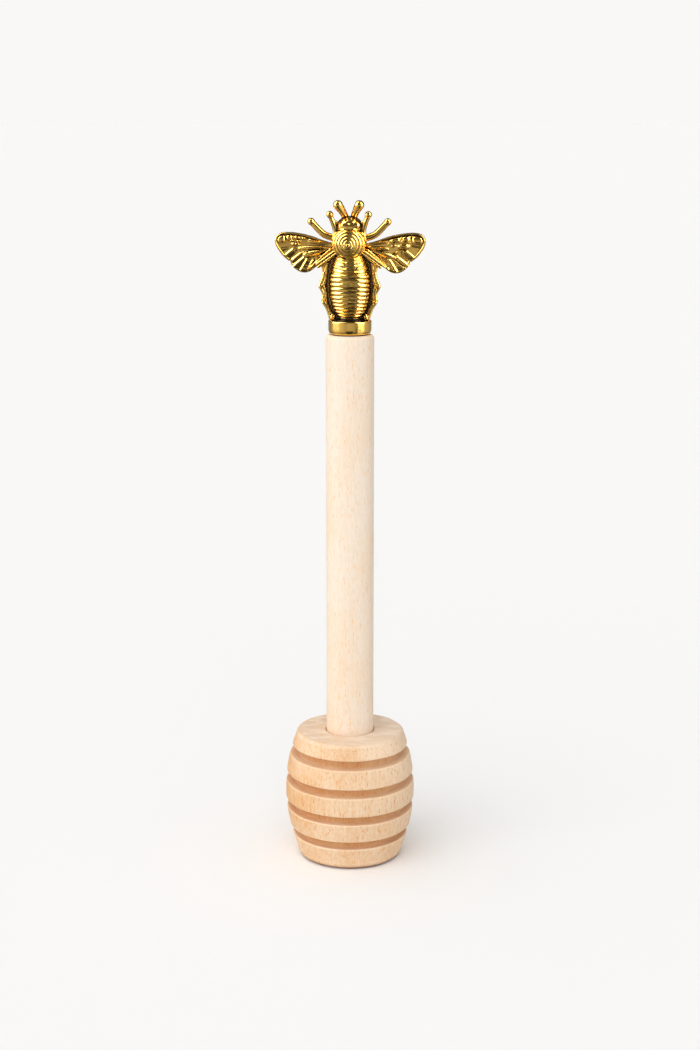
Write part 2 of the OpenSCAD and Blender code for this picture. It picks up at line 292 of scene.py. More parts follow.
@dataclass(frozen=True)
class Beech(Finish):
    """Bare turned beech: pale wood, vertical grain, tan flecks and darker cut faces, with painted shade in
    grooves, joints and at the foot, and a painted highlight on edges.
    """

    pale: Colour
    warm: Colour
    fleck: Colour
    # The tone of the tooled faces in the grooves, which also stands in for some of their shade
    cut: Colour
    fleck_share: float
    fleck_size: Point = (0.29, 0.29, 1.9)
    grain_size: Point = (0.5, 0.5, 22.0)
    warm_lean: float = 0.0
    shift: Point = (0.0, 0.0, 0.0)
    dart_size: float = 0.62
    dart_shift: float = 7.7
    wander: Point = (1.6, 1.6, 0.0)
    wander_per_mm: Point = (0.7, 0.7, 0.35)
    fine_per_mm: Point = (7.0, 7.0, 0.5)
    clouds_per_mm: Point = (0.11, 0.11, 0.05)
    pores_per_mm: Point = (4.5, 4.5, 3.0)
    mottle_per_mm: Point = (1.3, 1.3, 0.7)
    rays_per_mm: Point = (1.6, 0.28, 0.3)
    bloom_per_mm: Point = (0.16, 0.42, 0.3)
    fine_tint: Colour = linear(226, 204, 178)
    pore_tint: Colour = linear(240, 224, 204)
    end_colour: Colour = linear(228, 204, 180)
    bloom_colour: Colour = linear(246, 230, 212)
    # A painted highlight: the lighter line along the turned edges
    edge_highlight: Colour = linear(250, 226, 192)
    # Painted shade, deep in the head's grooves and just above the handle's joint
    shade_tint: Colour = linear(240, 224, 204)
    # Painted contact shadow at the head's foot
    foot_shadow_tint: Colour = linear(150, 116, 88)
    roughness: float = 0.52
    relief_h: float = 0.05

    def _flecks(self, tree: Tree, size: float, share: float, shift: float) -> Value:
        """Gives short pointed dashes along the grain.

        Args:
            tree: The tree.
            size: Their size beside the finish's own.
            share: The share of the places that hold one.
            shift: Moves the pattern.

        Returns:
            1 in a dash and 0 outside.
        """
        wander = tree.noise(tree.place(self.wander_per_mm, (shift, 1.3, 2.9)))
        stretch = tuple(1.0 / (s * size) for s in self.fleck_size)
        place = tree.place(stretch, tuple(s + shift for s in self.shift))
        bent = tree.stretched(wander, self.wander, place)
        cells = tree.node("ShaderNodeTexVoronoi", {"feature": "F1"}, {"Vector": bent, "Scale": 1.0})
        lot = tree.red(Value(tree, cells.outputs["Color"]))
        return Value(tree, cells.outputs["Distance"]).rise(0.5, 0.18) * lot.rise(1.0 - share, 1.04 - share)

    def _sockets(self, tree: Tree) -> dict[str, Input]:
        """Writes the nodes and gives the shader's inputs."""
        grain = tree.noise(tree.place(tuple(1.0 / s for s in self.grain_size), self.shift), 4.0, 0.6)
        fine = tree.noise(tree.place(self.fine_per_mm, self.shift), 2.0, 0.6)
        clouds = tree.noise(tree.place(self.clouds_per_mm, self.shift), 2.0)
        pores = tree.noise(tree.place(self.pores_per_mm, self.shift), 2.0, 0.7)
        mottle = tree.noise(tree.place(self.mottle_per_mm, self.shift), 4.0, 0.68)
        rays = tree.noise(tree.place(self.rays_per_mm, self.shift), 3.0, 0.6)
        bloom = tree.noise(tree.place(self.bloom_per_mm, self.shift), 4.0, 0.65)
        cut, end_grain, edge = (tree.attribute(name) for name in ("cut", "end_grain", "edge"))

        across = tree.axes(tree.place((1.0, 1.0, 1.0)))[0]
        warmth = clouds.rise(0.3, 0.72) * 0.55 + grain.rise(0.35, 0.75) * 0.4 + across * self.warm_lean
        warmth = warmth + 0.5 * (mottle.rise(0.42, 0.74) - 0.3)
        colour = tree.mix(warmth.at_least(0.0), self.pale, self.warm)
        colour = tree.tint(colour, self.fine_tint, fine.rise(0.45, 0.8) * 0.35)
        colour = tree.tint(colour, self.pore_tint, pores.rise(0.5, 0.78) * 0.2)
        # Cut faces take a slightly darker tone of their own; as the mark is strongest on the groove floors
        # and undersides, this also paints shade there
        colour = tree.mix(cut * (0.55 + 0.45 * fine), colour, tree.tint(colour, self.cut))

        dashes = self._flecks(tree, 1.0, self.fleck_share, 0.0)
        darts = self._flecks(tree, self.dart_size, self.fleck_share * 1.1, self.dart_shift)
        marks = dashes.at_least(darts * 0.55) * (1.0 - end_grain * 0.85)
        colour = tree.mix(marks * (0.55 + 0.6 * clouds), colour, self.fleck)

        colour = tree.mix(end_grain * (0.45 + 0.4 * rays.rise(0.35, 0.7)), colour, self.end_colour)
        colour = tree.mix(end_grain * bloom.rise(0.42, 0.66) * 0.6, colour, self.bloom_colour)
        # Paints a highlight along the edges, then darkens the sharpest corners towards the fleck colour
        colour = tree.mix(edge.rise(0.1, 0.5) * 0.3, colour, self.edge_highlight)
        colour = tree.mix(edge.rise(0.6, 1.0) * (0.25 + 0.5 * mottle), colour, self.fleck)
        # Paints shade deep in the head's grooves and just above the joint on the handle
        colour = tree.tint(colour, self.shade_tint, tree.attribute("recess"))
        # Paints the contact shadow at the head's foot
        colour = tree.tint(colour, self.foot_shadow_tint, tree.attribute("foot"))
        height = grain * 0.3 + fine * 0.4 - marks * 0.5 + pores * 0.3
        return {
            "Base Color": colour,
            "Roughness": self.roughness + 0.14 * pores + 0.12 * cut,
            "Specular IOR Level": 0.3,
            "Normal": tree.bump(height, self.relief_h, 0.5),
        }


@dataclass(frozen=True)
class Gilt(Finish):
    """Polished antique gold over a casting, left black in its recesses, with painted shade where the parts
    meet.
    """

    gold: Colour = (0.94, 0.545, 0.1)
    pale_gold: Colour = (0.97, 0.605, 0.14)
    black: Colour = (0.022, 0.013, 0.006)
    brown: Colour = (0.15, 0.09, 0.026)
    # How deep a recess is where the brown, and then the black, starts and is full
    brown_from: Flat = (0.25, 0.6)
    black_from: Flat = (0.5, 0.78)
    most_brown: float = 0.92
    roughness: float = 0.11
    coat: float = 0.32
    coat_roughness: float = 0.06
    dent_h: float = 0.014
    tone_per_mm: Point = (0.5, 0.5, 0.5)
    specks_per_mm: Point = (5.0, 5.0, 5.0)
    streaks_per_mm: Point = (0.5, 2.0, 9.0)
    swell_per_mm: Point = (1.3, 1.3, 1.3)

    def _sockets(self, tree: Tree) -> dict[str, Input]:
        """Writes the nodes and gives the shader's inputs."""
        tone = tree.noise(tree.place(self.tone_per_mm), 3.0)
        specks = tree.noise(tree.place(self.specks_per_mm), 3.0, 0.65)
        streaks = tree.noise(tree.place(self.streaks_per_mm), 2.0)
        swell = tree.noise(tree.place(self.swell_per_mm), 2.0)
        depth = tree.attribute("recess") + 0.5 * (specks - 0.5) + 0.25 * (tone - 0.5)
        stain = depth.rise(*self.brown_from) * self.most_brown
        # This black mark covers the web and the collar's specks, and paints shadow where the bee sits on the
        # collar
        dark = depth.rise(*self.black_from).at_least(tree.attribute("ink"))
        colour = tree.mix(tone.rise(0.3, 0.7), self.gold, self.pale_gold)
        colour = tree.mix(stain, colour, self.brown)
        colour = tree.mix(dark, colour, self.black)
        height = swell * 0.5 + specks * 0.08 + streaks * 0.08
        return {
            "Base Color": colour,
            "Metallic": 1.0 - dark * 0.55,
            "Roughness": self.roughness + 0.08 * specks + 0.16 * stain,
            "Specular IOR Level": 0.2,
            "Coat Weight": self.coat - (self.coat - 0.02) * dark,
            "Coat Roughness": self.coat_roughness,
            "Normal": tree.bump(height, self.dent_h, 1.0),
        }


@dataclass(frozen=True)
class Zinc(Finish):
    """Plain zinc-plated steel with fine marks round the thread."""

    steel: Colour = linear(176, 180, 184)
    warm_steel: Colour = linear(206, 206, 200)
    bloom_per_mm: Point = (0.6, 0.6, 0.6)
    marks_per_mm: Point = (1.0, 1.0, 14.0)

    def _sockets(self, tree: Tree) -> dict[str, Input]:
        """Writes the nodes and gives the shader's inputs."""
        bloom = tree.noise(tree.place(self.bloom_per_mm), 3.0)
        marks = tree.noise(tree.place(self.marks_per_mm), 2.0)
        colour = tree.mix(bloom.rise(0.3, 0.7), self.steel, self.warm_steel)
        return {
            "Base Color": colour,
            "Metallic": 1.0,
            "Roughness": 0.28 + 0.14 * marks,
            "Normal": tree.bump(marks + bloom, 0.02, 0.6),
        }


HEAD_BEECH = Beech(
    name="head_beech",
    pale=linear(237, 209, 177),
    warm=linear(226, 176, 122),
    fleck=linear(214, 132, 36),
    cut=linear(252, 242, 226),
    fleck_share=0.18,
    warm_lean=-0.026,
)
HANDLE_BEECH = Beech(
    name="handle_beech",
    pale=linear(241, 225, 207),
    warm=linear(240, 214, 184),
    fleck=linear(236, 182, 96),
    cut=linear(240, 216, 186),
    fleck_share=0.13,
    fleck_size=(0.22, 0.22, 1.7),
    shift=(5.2, 3.1, 8.4),
)
GILT = Gilt(name="gilt_metal")
ZINC = Zinc(name="stud_steel")


# Meshes


def new_piece(
    name: str,
    points: Array,
    faces: Sequence[Sequence[int]],
    material: bpy.types.Material,
    marks: dict[str, Array] | None = None,
    normals: Array | None = None,
) -> bpy.types.Object:
    """Makes an object from points in millimetres.

    Args:
        name: The piece's name.
        points: One row for each vertex.
        faces: The vertices of each face.
        material: Its material.
        marks: Numbers that the material reads at each vertex, by name.
        normals: The surface's direction at each vertex, where it is known exactly.

    Returns:
        The object, smooth shaded.
    """
    mesh = bpy.data.meshes.new(name)
    mesh.from_pydata((np.asarray(points) * MM).tolist(), [], [list(f) for f in faces])
    mesh.materials.append(material)
    mesh.shade_smooth()
    for mark, numbers in (marks or {}).items():
        layer = mesh.attributes.new(mark, "FLOAT", "POINT")
        layer.data.foreach_set("value", np.asarray(numbers, np.float32))
    if normals is not None:
        mesh.normals_split_custom_set_from_vertices(normals.tolist())
    piece = bpy.data.objects.new(name, mesh)
    bpy.context.scene.collection.objects.link(piece)
    return piece


def join_to_part(piece: bpy.types.Object, slot: str, *nodes: str) -> None:
    """Lets a piece ride with the dipper and stand for CAD nodes.

    Args:
        piece: The piece.
        slot: The record's material slot that its finish comes from; not used.
        nodes: The CAD nodes that it stands for.
    """
    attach(piece, "root")
    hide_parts(*nodes)
    LOG.info("%s: %d vertices, %d faces", piece.name, len(piece.data.vertices), len(piece.data.polygons))


def ripple(points: Array, pitch: float, seed: int) -> Array:
    """Gives smooth noise between about -1 and 1 at each point.

    Args:
        points: One row for each point.
        pitch: The size of a lump.
        seed: Chooses the pattern.

    Returns:
        One number for each point.
    """
    draw = np.random.default_rng(seed)
    waves = 6
    total = np.zeros(len(points))
    for _ in range(waves):
        aim = draw.normal(size=points.shape[1])
        aim *= draw.uniform(0.7, 1.5) * math.pi / (pitch * np.linalg.norm(aim))
        total += np.sin(points @ aim + draw.uniform(0.0, 2.0 * math.pi))
    return total / math.sqrt(waves)


@dataclass(frozen=True)
class Wave:
    """The slight unevenness of a surface: its height, the size of a lump, and a seed."""

    height: float
    pitch: float
    seed: int

    def at(self, points: Array) -> Array:
        """Gives the unevenness at each point."""
        return self.height * ripple(points, self.pitch, self.seed)


@dataclass
class Lathe:
    """A turned solid: a profile that starts and ends on the axis, carried round it."""

    profile: list[Flat]
    turns: int
    wobble: Callable[[Array, Array], Array] | None = None

    def mesh(self) -> tuple[Array, list[list[int]]]:
        """Turns the profile.

        Returns:
            The points and the faces.
        """
        rings = np.array(self.profile[1:-1])
        angle = np.linspace(0.0, 2.0 * math.pi, self.turns, endpoint=False)
        radius = np.repeat(rings[:, 0], self.turns)
        height = np.repeat(rings[:, 1], self.turns)
        around = np.tile(angle, len(rings))
        points = np.column_stack([radius * np.cos(around), radius * np.sin(around), height])
        if self.wobble is not None:
            points = points + self.wobble(points, radius)
        ends = [[0.0, 0.0, self.profile[0][1]], [0.0, 0.0, self.profile[-1][1]]]
        start, finish = len(points), len(points) + 1
        nexts = np.roll(np.arange(self.turns), -1)
        faces: list[list[int]] = []
        for ring in range(len(rings) - 1):
            low, high = ring * self.turns, (ring + 1) * self.turns
            here = np.arange(self.turns)
            faces += np.column_stack([low + here, low + nexts, high + nexts, high + here]).tolist()
        top = (len(rings) - 1) * self.turns
        faces += [[start, int(b), int(a)] for a, b in zip(range(self.turns), nexts)]
        faces += [[finish, top + int(a), top + int(b)] for a, b in zip(range(self.turns), nexts)]
        return np.vstack([points, ends]), faces

    def along(self, numbers: Sequence[float]) -> Array:
        """Carries one number for each point of the profile round to all vertices."""
        return np.concatenate([np.repeat(numbers[1:-1], self.turns), [numbers[0], numbers[-1]]])


def arc(centre: Flat, radius: float, start: float, end: float, steps: int) -> list[Flat]:
    """Gives points on a circle's arc.

    Args:
        centre: Its centre.
        radius: Its radius.
        start: The first angle, in degrees.
        end: The last angle.
        steps: The number of steps between them.

    Returns:
        The points.
    """
    angles = [math.radians(start + (end - start) * i / steps) for i in range(steps + 1)]
    return [(centre[0] + radius * math.cos(a), centre[1] + radius * math.sin(a)) for a in angles]


def outline_distance(p: Array, edge: Array) -> Array:
    """Measures flat points against a closed outline.

    Args:
        p: The points.
        edge: The outline's corners.

    Returns:
        The distance to the outline, negative inside.
    """
    best = np.full(len(p), np.inf)
    odd = np.zeros(len(p), bool)
    for a, b in zip(edge, np.roll(edge, -1, axis=0)):
        run = b - a
        t = np.clip(((p - a) @ run) / max(run @ run, 1e-9), 0.0, 1.0)
        best = np.minimum(best, np.hypot(*(p - a - t[:, None] * run).T))
        if a[1] != b[1]:
            crosses = (a[1] > p[:, 1]) != (b[1] > p[:, 1])
            odd ^= crosses & (p[:, 0] < a[0] + (p[:, 1] - a[1]) * run[0] / run[1])
    return np.where(odd, -best, best)


def path_distance(p: Array, path: Array) -> tuple[Array, Array, Array]:
    """Measures flat points against a path.

    Args:
        p: The points.
        path: The path's points.

    Returns:
        The distance to the path, how far to its left side each point is, and how far along it.
    """
    best = np.full(len(p), np.inf)
    side, along = np.zeros(len(p)), np.zeros(len(p))
    travelled = 0.0
    for a, b in zip(path[:-1], path[1:]):
        run = b - a
        size = np.hypot(*run)
        t = np.clip(((p - a) @ run) / size**2, 0.0, 1.0)
        away = np.hypot(*(p - a - t[:, None] * run).T)
        nearer = away < best
        best = np.where(nearer, away, best)
        side = np.where(nearer, ((p - a) @ np.array([-run[1], run[0]])) / size, side)
        along = np.where(nearer, travelled + t * size, along)
        travelled += size
    return best, side, along


def spline(points: Sequence[Sequence[float]], steps: int) -> Array:
    """Draws a smooth curve through some points.

    Args:
        points: The points.
        steps: The number of steps between each pair.

    Returns:
        The curve's points.
    """
    p = np.array(points, float)
    last = len(p) - 1
    rows = []
    for i in range(last):
        a, b, c, d = p[max(i - 1, 0)], p[i], p[i + 1], p[min(i + 2, last)]
        bend, twist = 2 * a - 5 * b + 4 * c - d, 3 * (b - c) - a + d
        rows += [b + 0.5 * t * ((c - a) + t * (bend + t * twist)) for t in np.arange(steps) / steps]
    return np.array([*rows, p[last]])


def folded(points: Array) -> Array:
    """Gives the points with those at negative x moved to their mirror places."""
    return np.abs(points) * [1.0, 0.0, 0.0] + points * [0.0, 1.0, 1.0]


def outwards(points: Array, radius: Array) -> Array:
    """Gives the level direction away from the axis at each point."""
    return points * [1.0, 1.0, 0.0] / np.maximum(radius, 1e-6)[:, None]


def turned_size(node: str) -> tuple[float, float, float]:
    """Gives the radius, the bottom and the top of a turned CAD node."""
    low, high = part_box(node)
    return (high.x - low.x) / 2.0 / MM, low.z / MM, high.z / MM


# Castings, as one surface at zero distance from a set of joined forms


def smooth_min(a: Array, b: Array, blend: float) -> Array:
    """Gives the smaller of two distances, rounded where they are within a blend of each other."""
    if blend <= 0.0:
        return np.minimum(a, b)
    share = np.clip(0.5 + 0.5 * (b - a) / blend, 0.0, 1.0)
    return b * (1.0 - share) + a * share - blend * share * (1.0 - share)


def smooth_max(a: Array, b: Array, blend: float) -> Array:
    """Gives the larger of two distances, rounded where they meet."""
    return -smooth_min(-a, -b, blend)


def egg(points: Array, centre: Point, radii: Point) -> Array:
    """Gives about the distance to an ellipsoid."""
    q = (points - np.array(centre)) / np.array(radii)
    near = np.linalg.norm(q, axis=1)
    return near * (near - 1.0) / np.maximum(np.linalg.norm(q / np.array(radii), axis=1), 1e-6)


BEAD_PITCH = 0.38


def rod(points: Array, path: Array, radii: Array, beads: float = 0.0) -> Array:
    """Gives the distance to a round rod along a path.

    Args:
        points: Where to measure.
        path: The rod's path.
        radii: Its radius at each point of the path.
        beads: How far small beads stand proud along it.

    Returns:
        One distance for each point.
    """
    best = np.full(len(points), np.inf)
    travelled = 0.0
    for a, b, ra, rb in zip(path[:-1], path[1:], radii[:-1], radii[1:]):
        run = b - a
        size = np.linalg.norm(run)
        t = np.clip(((points - a) @ run) / size**2, 0.0, 1.0)
        radius = ra + (rb - ra) * t
        if beads:
            radius = radius + beads * np.cos(2.0 * math.pi * (travelled + t * size) / BEAD_PITCH)
        best = np.minimum(best, np.linalg.norm(points - a - t[:, None] * run, axis=1) - radius)
        travelled += size
    return best


@dataclass(frozen=True)
class Form:
    """One form of a casting: its distance function, its box and how softly it joins the rest."""

    distance: Callable[[Array], Array]
    low: Point
    high: Point
    blend: float = 0.25
    mirrored: bool = False


def rod_form(
    path: Sequence[Point], radii: Sequence[float], steps: int = 5, blend: float = 0.25, beads: float = 0.0
) -> Form:
    """Makes a mirrored rod through some points.

    Args:
        path: The points.
        radii: The rod's radius at each of them.
        steps: The number of steps between each pair.
        blend: How softly it joins the rest.
        beads: How far small beads stand proud along it.

    Returns:
        The rod.
    """
    curve, girth = spline(path, steps), spline([[r] for r in radii], steps)[:, 0]
    low, high = tuple(curve.min(0) - max(radii)), tuple(curve.max(0) + max(radii))
    return Form(lambda p: rod(p, curve, girth, beads), low, high, blend, True)


def ball_form(centre: Point, radii: Point, blend: float = 0.2, mirrored: bool = True) -> Form:
    """Makes an ellipsoid."""
    c, r = np.array(centre), np.array(radii)
    return Form(lambda p: egg(p, centre, radii), tuple(c - r), tuple(c + r), blend, mirrored)


@dataclass
class Casting:
    """Forms joined into one skin."""

    forms: list[Form]
    reach: float = 1.3
    # How often the mesh's points are moved onto the skin
    settlings: int = 3
    # The heights over the skin at which a recess is looked for
    probes: tuple[float, ...] = (0.15, 0.3, 0.6, 1.1)

    def distance(self, points: Array) -> Array:
        """Gives the distance to the skin, negative inside, and no more than the reach."""
        mirrored = folded(points)
        result = np.full(len(points), self.reach)
        for form in self.forms:
            seen = mirrored if form.mirrored else points
            low, high = np.array(form.low) - self.reach, np.array(form.high) + self.reach
            near = np.flatnonzero(np.all((seen > low) & (seen < high), axis=1))
            if len(near):
                result[near] = smooth_min(result[near], form.distance(seen[near]), form.blend)
        return result

    def slope(self, points: Array, step: float = 0.02) -> Array:
        """Gives the gradient of the distance, from places a step away on each side."""
        moves = np.eye(3) * step
        rises = [self.distance(points + move) - self.distance(points - move) for move in moves]
        return np.column_stack(rises) / (2.0 * step)

    def skin(self, low: Point, high: Point, cell: float) -> tuple[Array, Array, Array]:
        """Meshes the surface inside a box.

        Args:
            low: The box's lowest corner.
            high: Its highest corner.
            cell: The size of a grid cell.

        Returns:
            Points on the surface, faces of four points, and the normal at each point.
        """
        axes = [np.arange(a - cell, b + 2.0 * cell, cell) for a, b in zip(low, high)]
        grid = np.stack(np.meshgrid(*axes, indexing="ij"), axis=-1)
        values = self.distance(grid.reshape(-1, 3)).reshape(grid.shape[:3])
        points, faces = surface_net(values, np.array([a[0] for a in axes]), cell)
        for _ in range(self.settlings):
            gradient = self.slope(points)
            size = np.maximum((gradient**2).sum(1), 0.05)
            move = gradient * (self.distance(points) / size)[:, None]
            points = points - np.clip(move, -cell, cell)
        gradient = self.slope(points)
        return points, faces, gradient / np.maximum(np.linalg.norm(gradient, axis=1), 1e-6)[:, None]

    def recess(self, points: Array, normals: Array) -> Array:
        """Gives how closed in each point is, from 0 in the open to 1 in a deep crack."""
        total = np.zeros(len(points))
        for height in self.probes:
            total += np.clip(1.0 - self.distance(points + normals * height) / height, 0.0, 1.0)
        return total / len(self.probes)


def surface_net(values: Array, origin: Array, cell: float) -> tuple[Array, Array]:
    """Meshes the zero surface of a grid of values, negative inside, with one point for each cell it crosses.

    Args:
        values: The values, on a grid along x, y and z.
        origin: The place of the grid's first value.
        cell: The grid's step.

    Returns:
        The points, and faces of four points that turn outwards.
    """
    inside = values < 0.0
    corners = [(i, j, k) for i in (0, 1) for j in (0, 1) for k in (0, 1)]
    shape = tuple(n - 1 for n in values.shape)

    def corner(source: Array, at: tuple[int, int, int]) -> Array:
        """Gives a corner's value for every cell."""
        return source[tuple(slice(a, a + n) for a, n in zip(at, shape))]

    count = sum(corner(inside, c).astype(np.int8) for c in corners)
    active = (count > 0) & (count < 8)
    index = np.full(shape, -1, np.int64)
    index[active] = np.arange(active.sum())
    total = np.zeros((int(active.sum()), 3))
    crossings = np.zeros(len(total))
    for first in corners:
        for axis in range(3):
            if first[axis]:
                continue
            second = tuple(1 if a == axis else v for a, v in enumerate(first))
            va, vb = corner(values, first)[active], corner(values, second)[active]
            cut = (va < 0.0) != (vb < 0.0)
            share = np.where(cut, va / np.where(cut, va - vb, 1.0), 0.0)
            place = np.tile(np.array(first, float), (len(total), 1))
            place[:, axis] = share
            total += place * cut[:, None]
            crossings += cut
    points = np.argwhere(active) + total / crossings[:, None]
    quads = []
    for axis in range(3):
        one, two = [(axis + 1) % 3, (axis + 2) % 3]
        near = inside[tuple(slice(0, -1) if a == axis else slice(1, -1) for a in range(3))]
        far = inside[tuple(slice(1, None) if a == axis else slice(1, -1) for a in range(3))]
        for leaving in (True, False):
            base = np.argwhere((near & ~far) if leaving else (~near & far))
            steps = [(-1, -1), (0, -1), (0, 0), (-1, 0)]
            columns = []
            for a, b in steps if leaving else steps[::-1]:
                at = base.copy()
                at[:, one] += 1 + a
                at[:, two] += 1 + b
                columns.append(index[at[:, 0], at[:, 1], at[:, 2]])
            quads.append(np.column_stack(columns))
    return origin + cell * points, np.vstack(quads)


# The dipper's pieces


@dataclass
class Head:
    """The turned head: a barrel with square grooves and a blind socket for the handle."""

    turns: int = 448
    belly_z: float = 17.5
    top_d: float = 26.7
    base_d: float = 23.4
    base_round_h: float = 2.2
    rim_r: float = 0.9
    groove_count: int = 4
    groove_w: float = 2.2
    groove_depth: float = 2.15
    bottom_rib_h: float = 5.95
    top_rib_h: float = 3.85
    edge_r: float = 0.3
    corner: float = 0.15
    socket_r: float = 6.15
    socket_depth: float = 20.0
    socket_bevel: float = 0.2
    sanded: Wave = Wave(0.035, 5.0, 3)
    sanded_fine: Wave = Wave(0.012, 0.9, 4)
    lifted: Wave = Wave(0.03, 3.5, 5)
    radius: float = field(init=False)
    height: float = field(init=False)

    def __post_init__(self) -> None:
        """Takes the outer size from the frame."""
        self.radius, bottom, top = turned_size("dipper_head")
        self.height = top - bottom

    def barrel(self, z: float) -> float:
        """Gives the barrel's radius at a height."""
        sag = self.radius - self.top_d / 2.0
        curve = ((self.height - self.belly_z) ** 2 + sag**2) / (2.0 * sag)
        return self.radius - curve + math.sqrt(curve**2 - (z - self.belly_z) ** 2)

    def profile(self) -> tuple[list[Flat], dict[str, list[float]]]:
        """Draws the head's outline, from the middle of its base to the middle of its socket.

        Returns:
            The points, and for each mark one number at each point.
        """
        rows: list[tuple[Flat, float, float, float]] = []

        def add(points: list[Flat], cut: float = 0.0, end: float = 0.0, edge: float = 0.0) -> None:
            """Adds a run of points with their marks."""
            rows.extend((p, cut, end, edge) for p in points)

        def face(start: Flat, finish: Flat, steps: int) -> list[Flat]:
            """Gives points along a straight line."""
            return [tuple(np.add(start, np.subtract(finish, start) * i / steps)) for i in range(steps + 1)]

        e, c, base_r = self.edge_r, self.corner, self.base_d / 2.0
        flare = self.barrel(self.base_round_h) - base_r
        add(face((0.0, 0.0), (base_r, 0.0), 6), end=0.8)
        quarter = [math.radians(a) for a in range(10, 90, 10)]
        add([(base_r + flare * math.sin(a), self.base_round_h * (1 - math.cos(a))) for a in quarter])
        pitch = (self.height - self.bottom_rib_h - self.top_rib_h - self.groove_w) / (self.groove_count - 1)
        start = self.base_round_h
        for i in range(self.groove_count):
            low = self.bottom_rib_h + i * pitch
            high = low + self.groove_w
            floor = self.barrel((low + high) / 2.0) - self.groove_depth
            add([(self.barrel(z), z) for z in np.linspace(start, low - 1.2 * e, 9)])
            # The edge marks carry the painted highlight along the rib corners
            add(arc((self.barrel(low - e) - e, low - e), e, 15, 80, 3), edge=0.5)
            add([(self.barrel(low) - e, low)], edge=1.0)
            # The cut mark is lighter on the open ledge than on the shaded floor and underside, so it paints
            # shade as well as the cut faces' tone
            add(face((self.barrel(low) - 1.5 * e, low), (floor + c, low), 6), cut=0.35, end=0.35)
            add(face((floor, low + c), (floor, high - c), 5), cut=1.0)
            add(face((floor + c, high), (self.barrel(high) - 1.3 * e, high), 6), cut=0.8)
            add(arc((self.barrel(high + e) - e, high + e), e, -90, -15, 4), edge=0.7)
            start = high + 1.2 * e
        rim_z = self.height - self.rim_r
        add([(self.barrel(z), z) for z in np.linspace(start, rim_z - 0.1, 7)])
        add(arc((self.barrel(rim_z) - self.rim_r, rim_z), self.rim_r, 10, 88, 8), edge=0.25, end=0.3)
        top = self.barrel(rim_z) - self.rim_r
        bevel = self.socket_bevel
        add(face((top - 0.2, self.height), (self.socket_r + bevel, self.height), 12), end=1.0)
        add([(self.socket_r, self.height - bevel)], end=0.6)
        floor_z = self.height - self.socket_depth
        add(face((self.socket_r, self.height - 1.0), (self.socket_r, floor_z), 6), cut=1.0)
        add(face((self.socket_r - 0.5, floor_z), (0.0, floor_z), 2), cut=1.0)
        marks = {name: [row[i] for row in rows] for i, name in enumerate(("cut", "end_grain", "edge"), 1)}
        return [row[0] for row in rows], marks

    def wobble(self, points: Array, radius: Array) -> Array:
        """Moves the surface a little: in and out, as hand sanding does, and the ribs up and down."""
        out = outwards(points, radius)
        outer = smooth_step(8.0, 11.0, radius)
        sand = self.sanded.at(points) + self.sanded_fine.at(points)
        lift = self.lifted.at(points) * outer * (points[:, 2] > 0.5)
        return out * (sand * outer)[:, None] + np.array([0.0, 0.0, 1.0]) * lift[:, None]

    def build(self) -> bpy.types.Object:
        """Builds and dresses the head."""
        outline, marks = self.profile()
        lathe = Lathe(outline, self.turns, self.wobble)
        points, faces = lathe.mesh()
        numbers = {name: lathe.along(row) for name, row in marks.items()}
        # Painted shade: the groove faces darken the deeper they lie inside the barrel
        inner = 1.0 - smooth_step(0.0, self.groove_depth, self.depth_below_barrel(points))
        numbers["recess"] = numbers["cut"] * (1.0 - 0.75 * inner)
        # Painted contact shadow: the lowest 1.3 millimetres darken towards the floor
        numbers["foot"] = 1.0 - smooth_step(0.1, 1.3, points[:, 2])
        piece = new_piece("head_turned", points, faces, HEAD_BEECH.material(), numbers)
        join_to_part(piece, "head_beech", "dipper_head")
        return piece

    def depth_below_barrel(self, points: Array) -> Array:
        """Gives how far each point lies inside the barrel's surface."""
        radius = np.hypot(points[:, 0], points[:, 1])
        return np.array([self.barrel(z) for z in points[:, 2]]) - radius


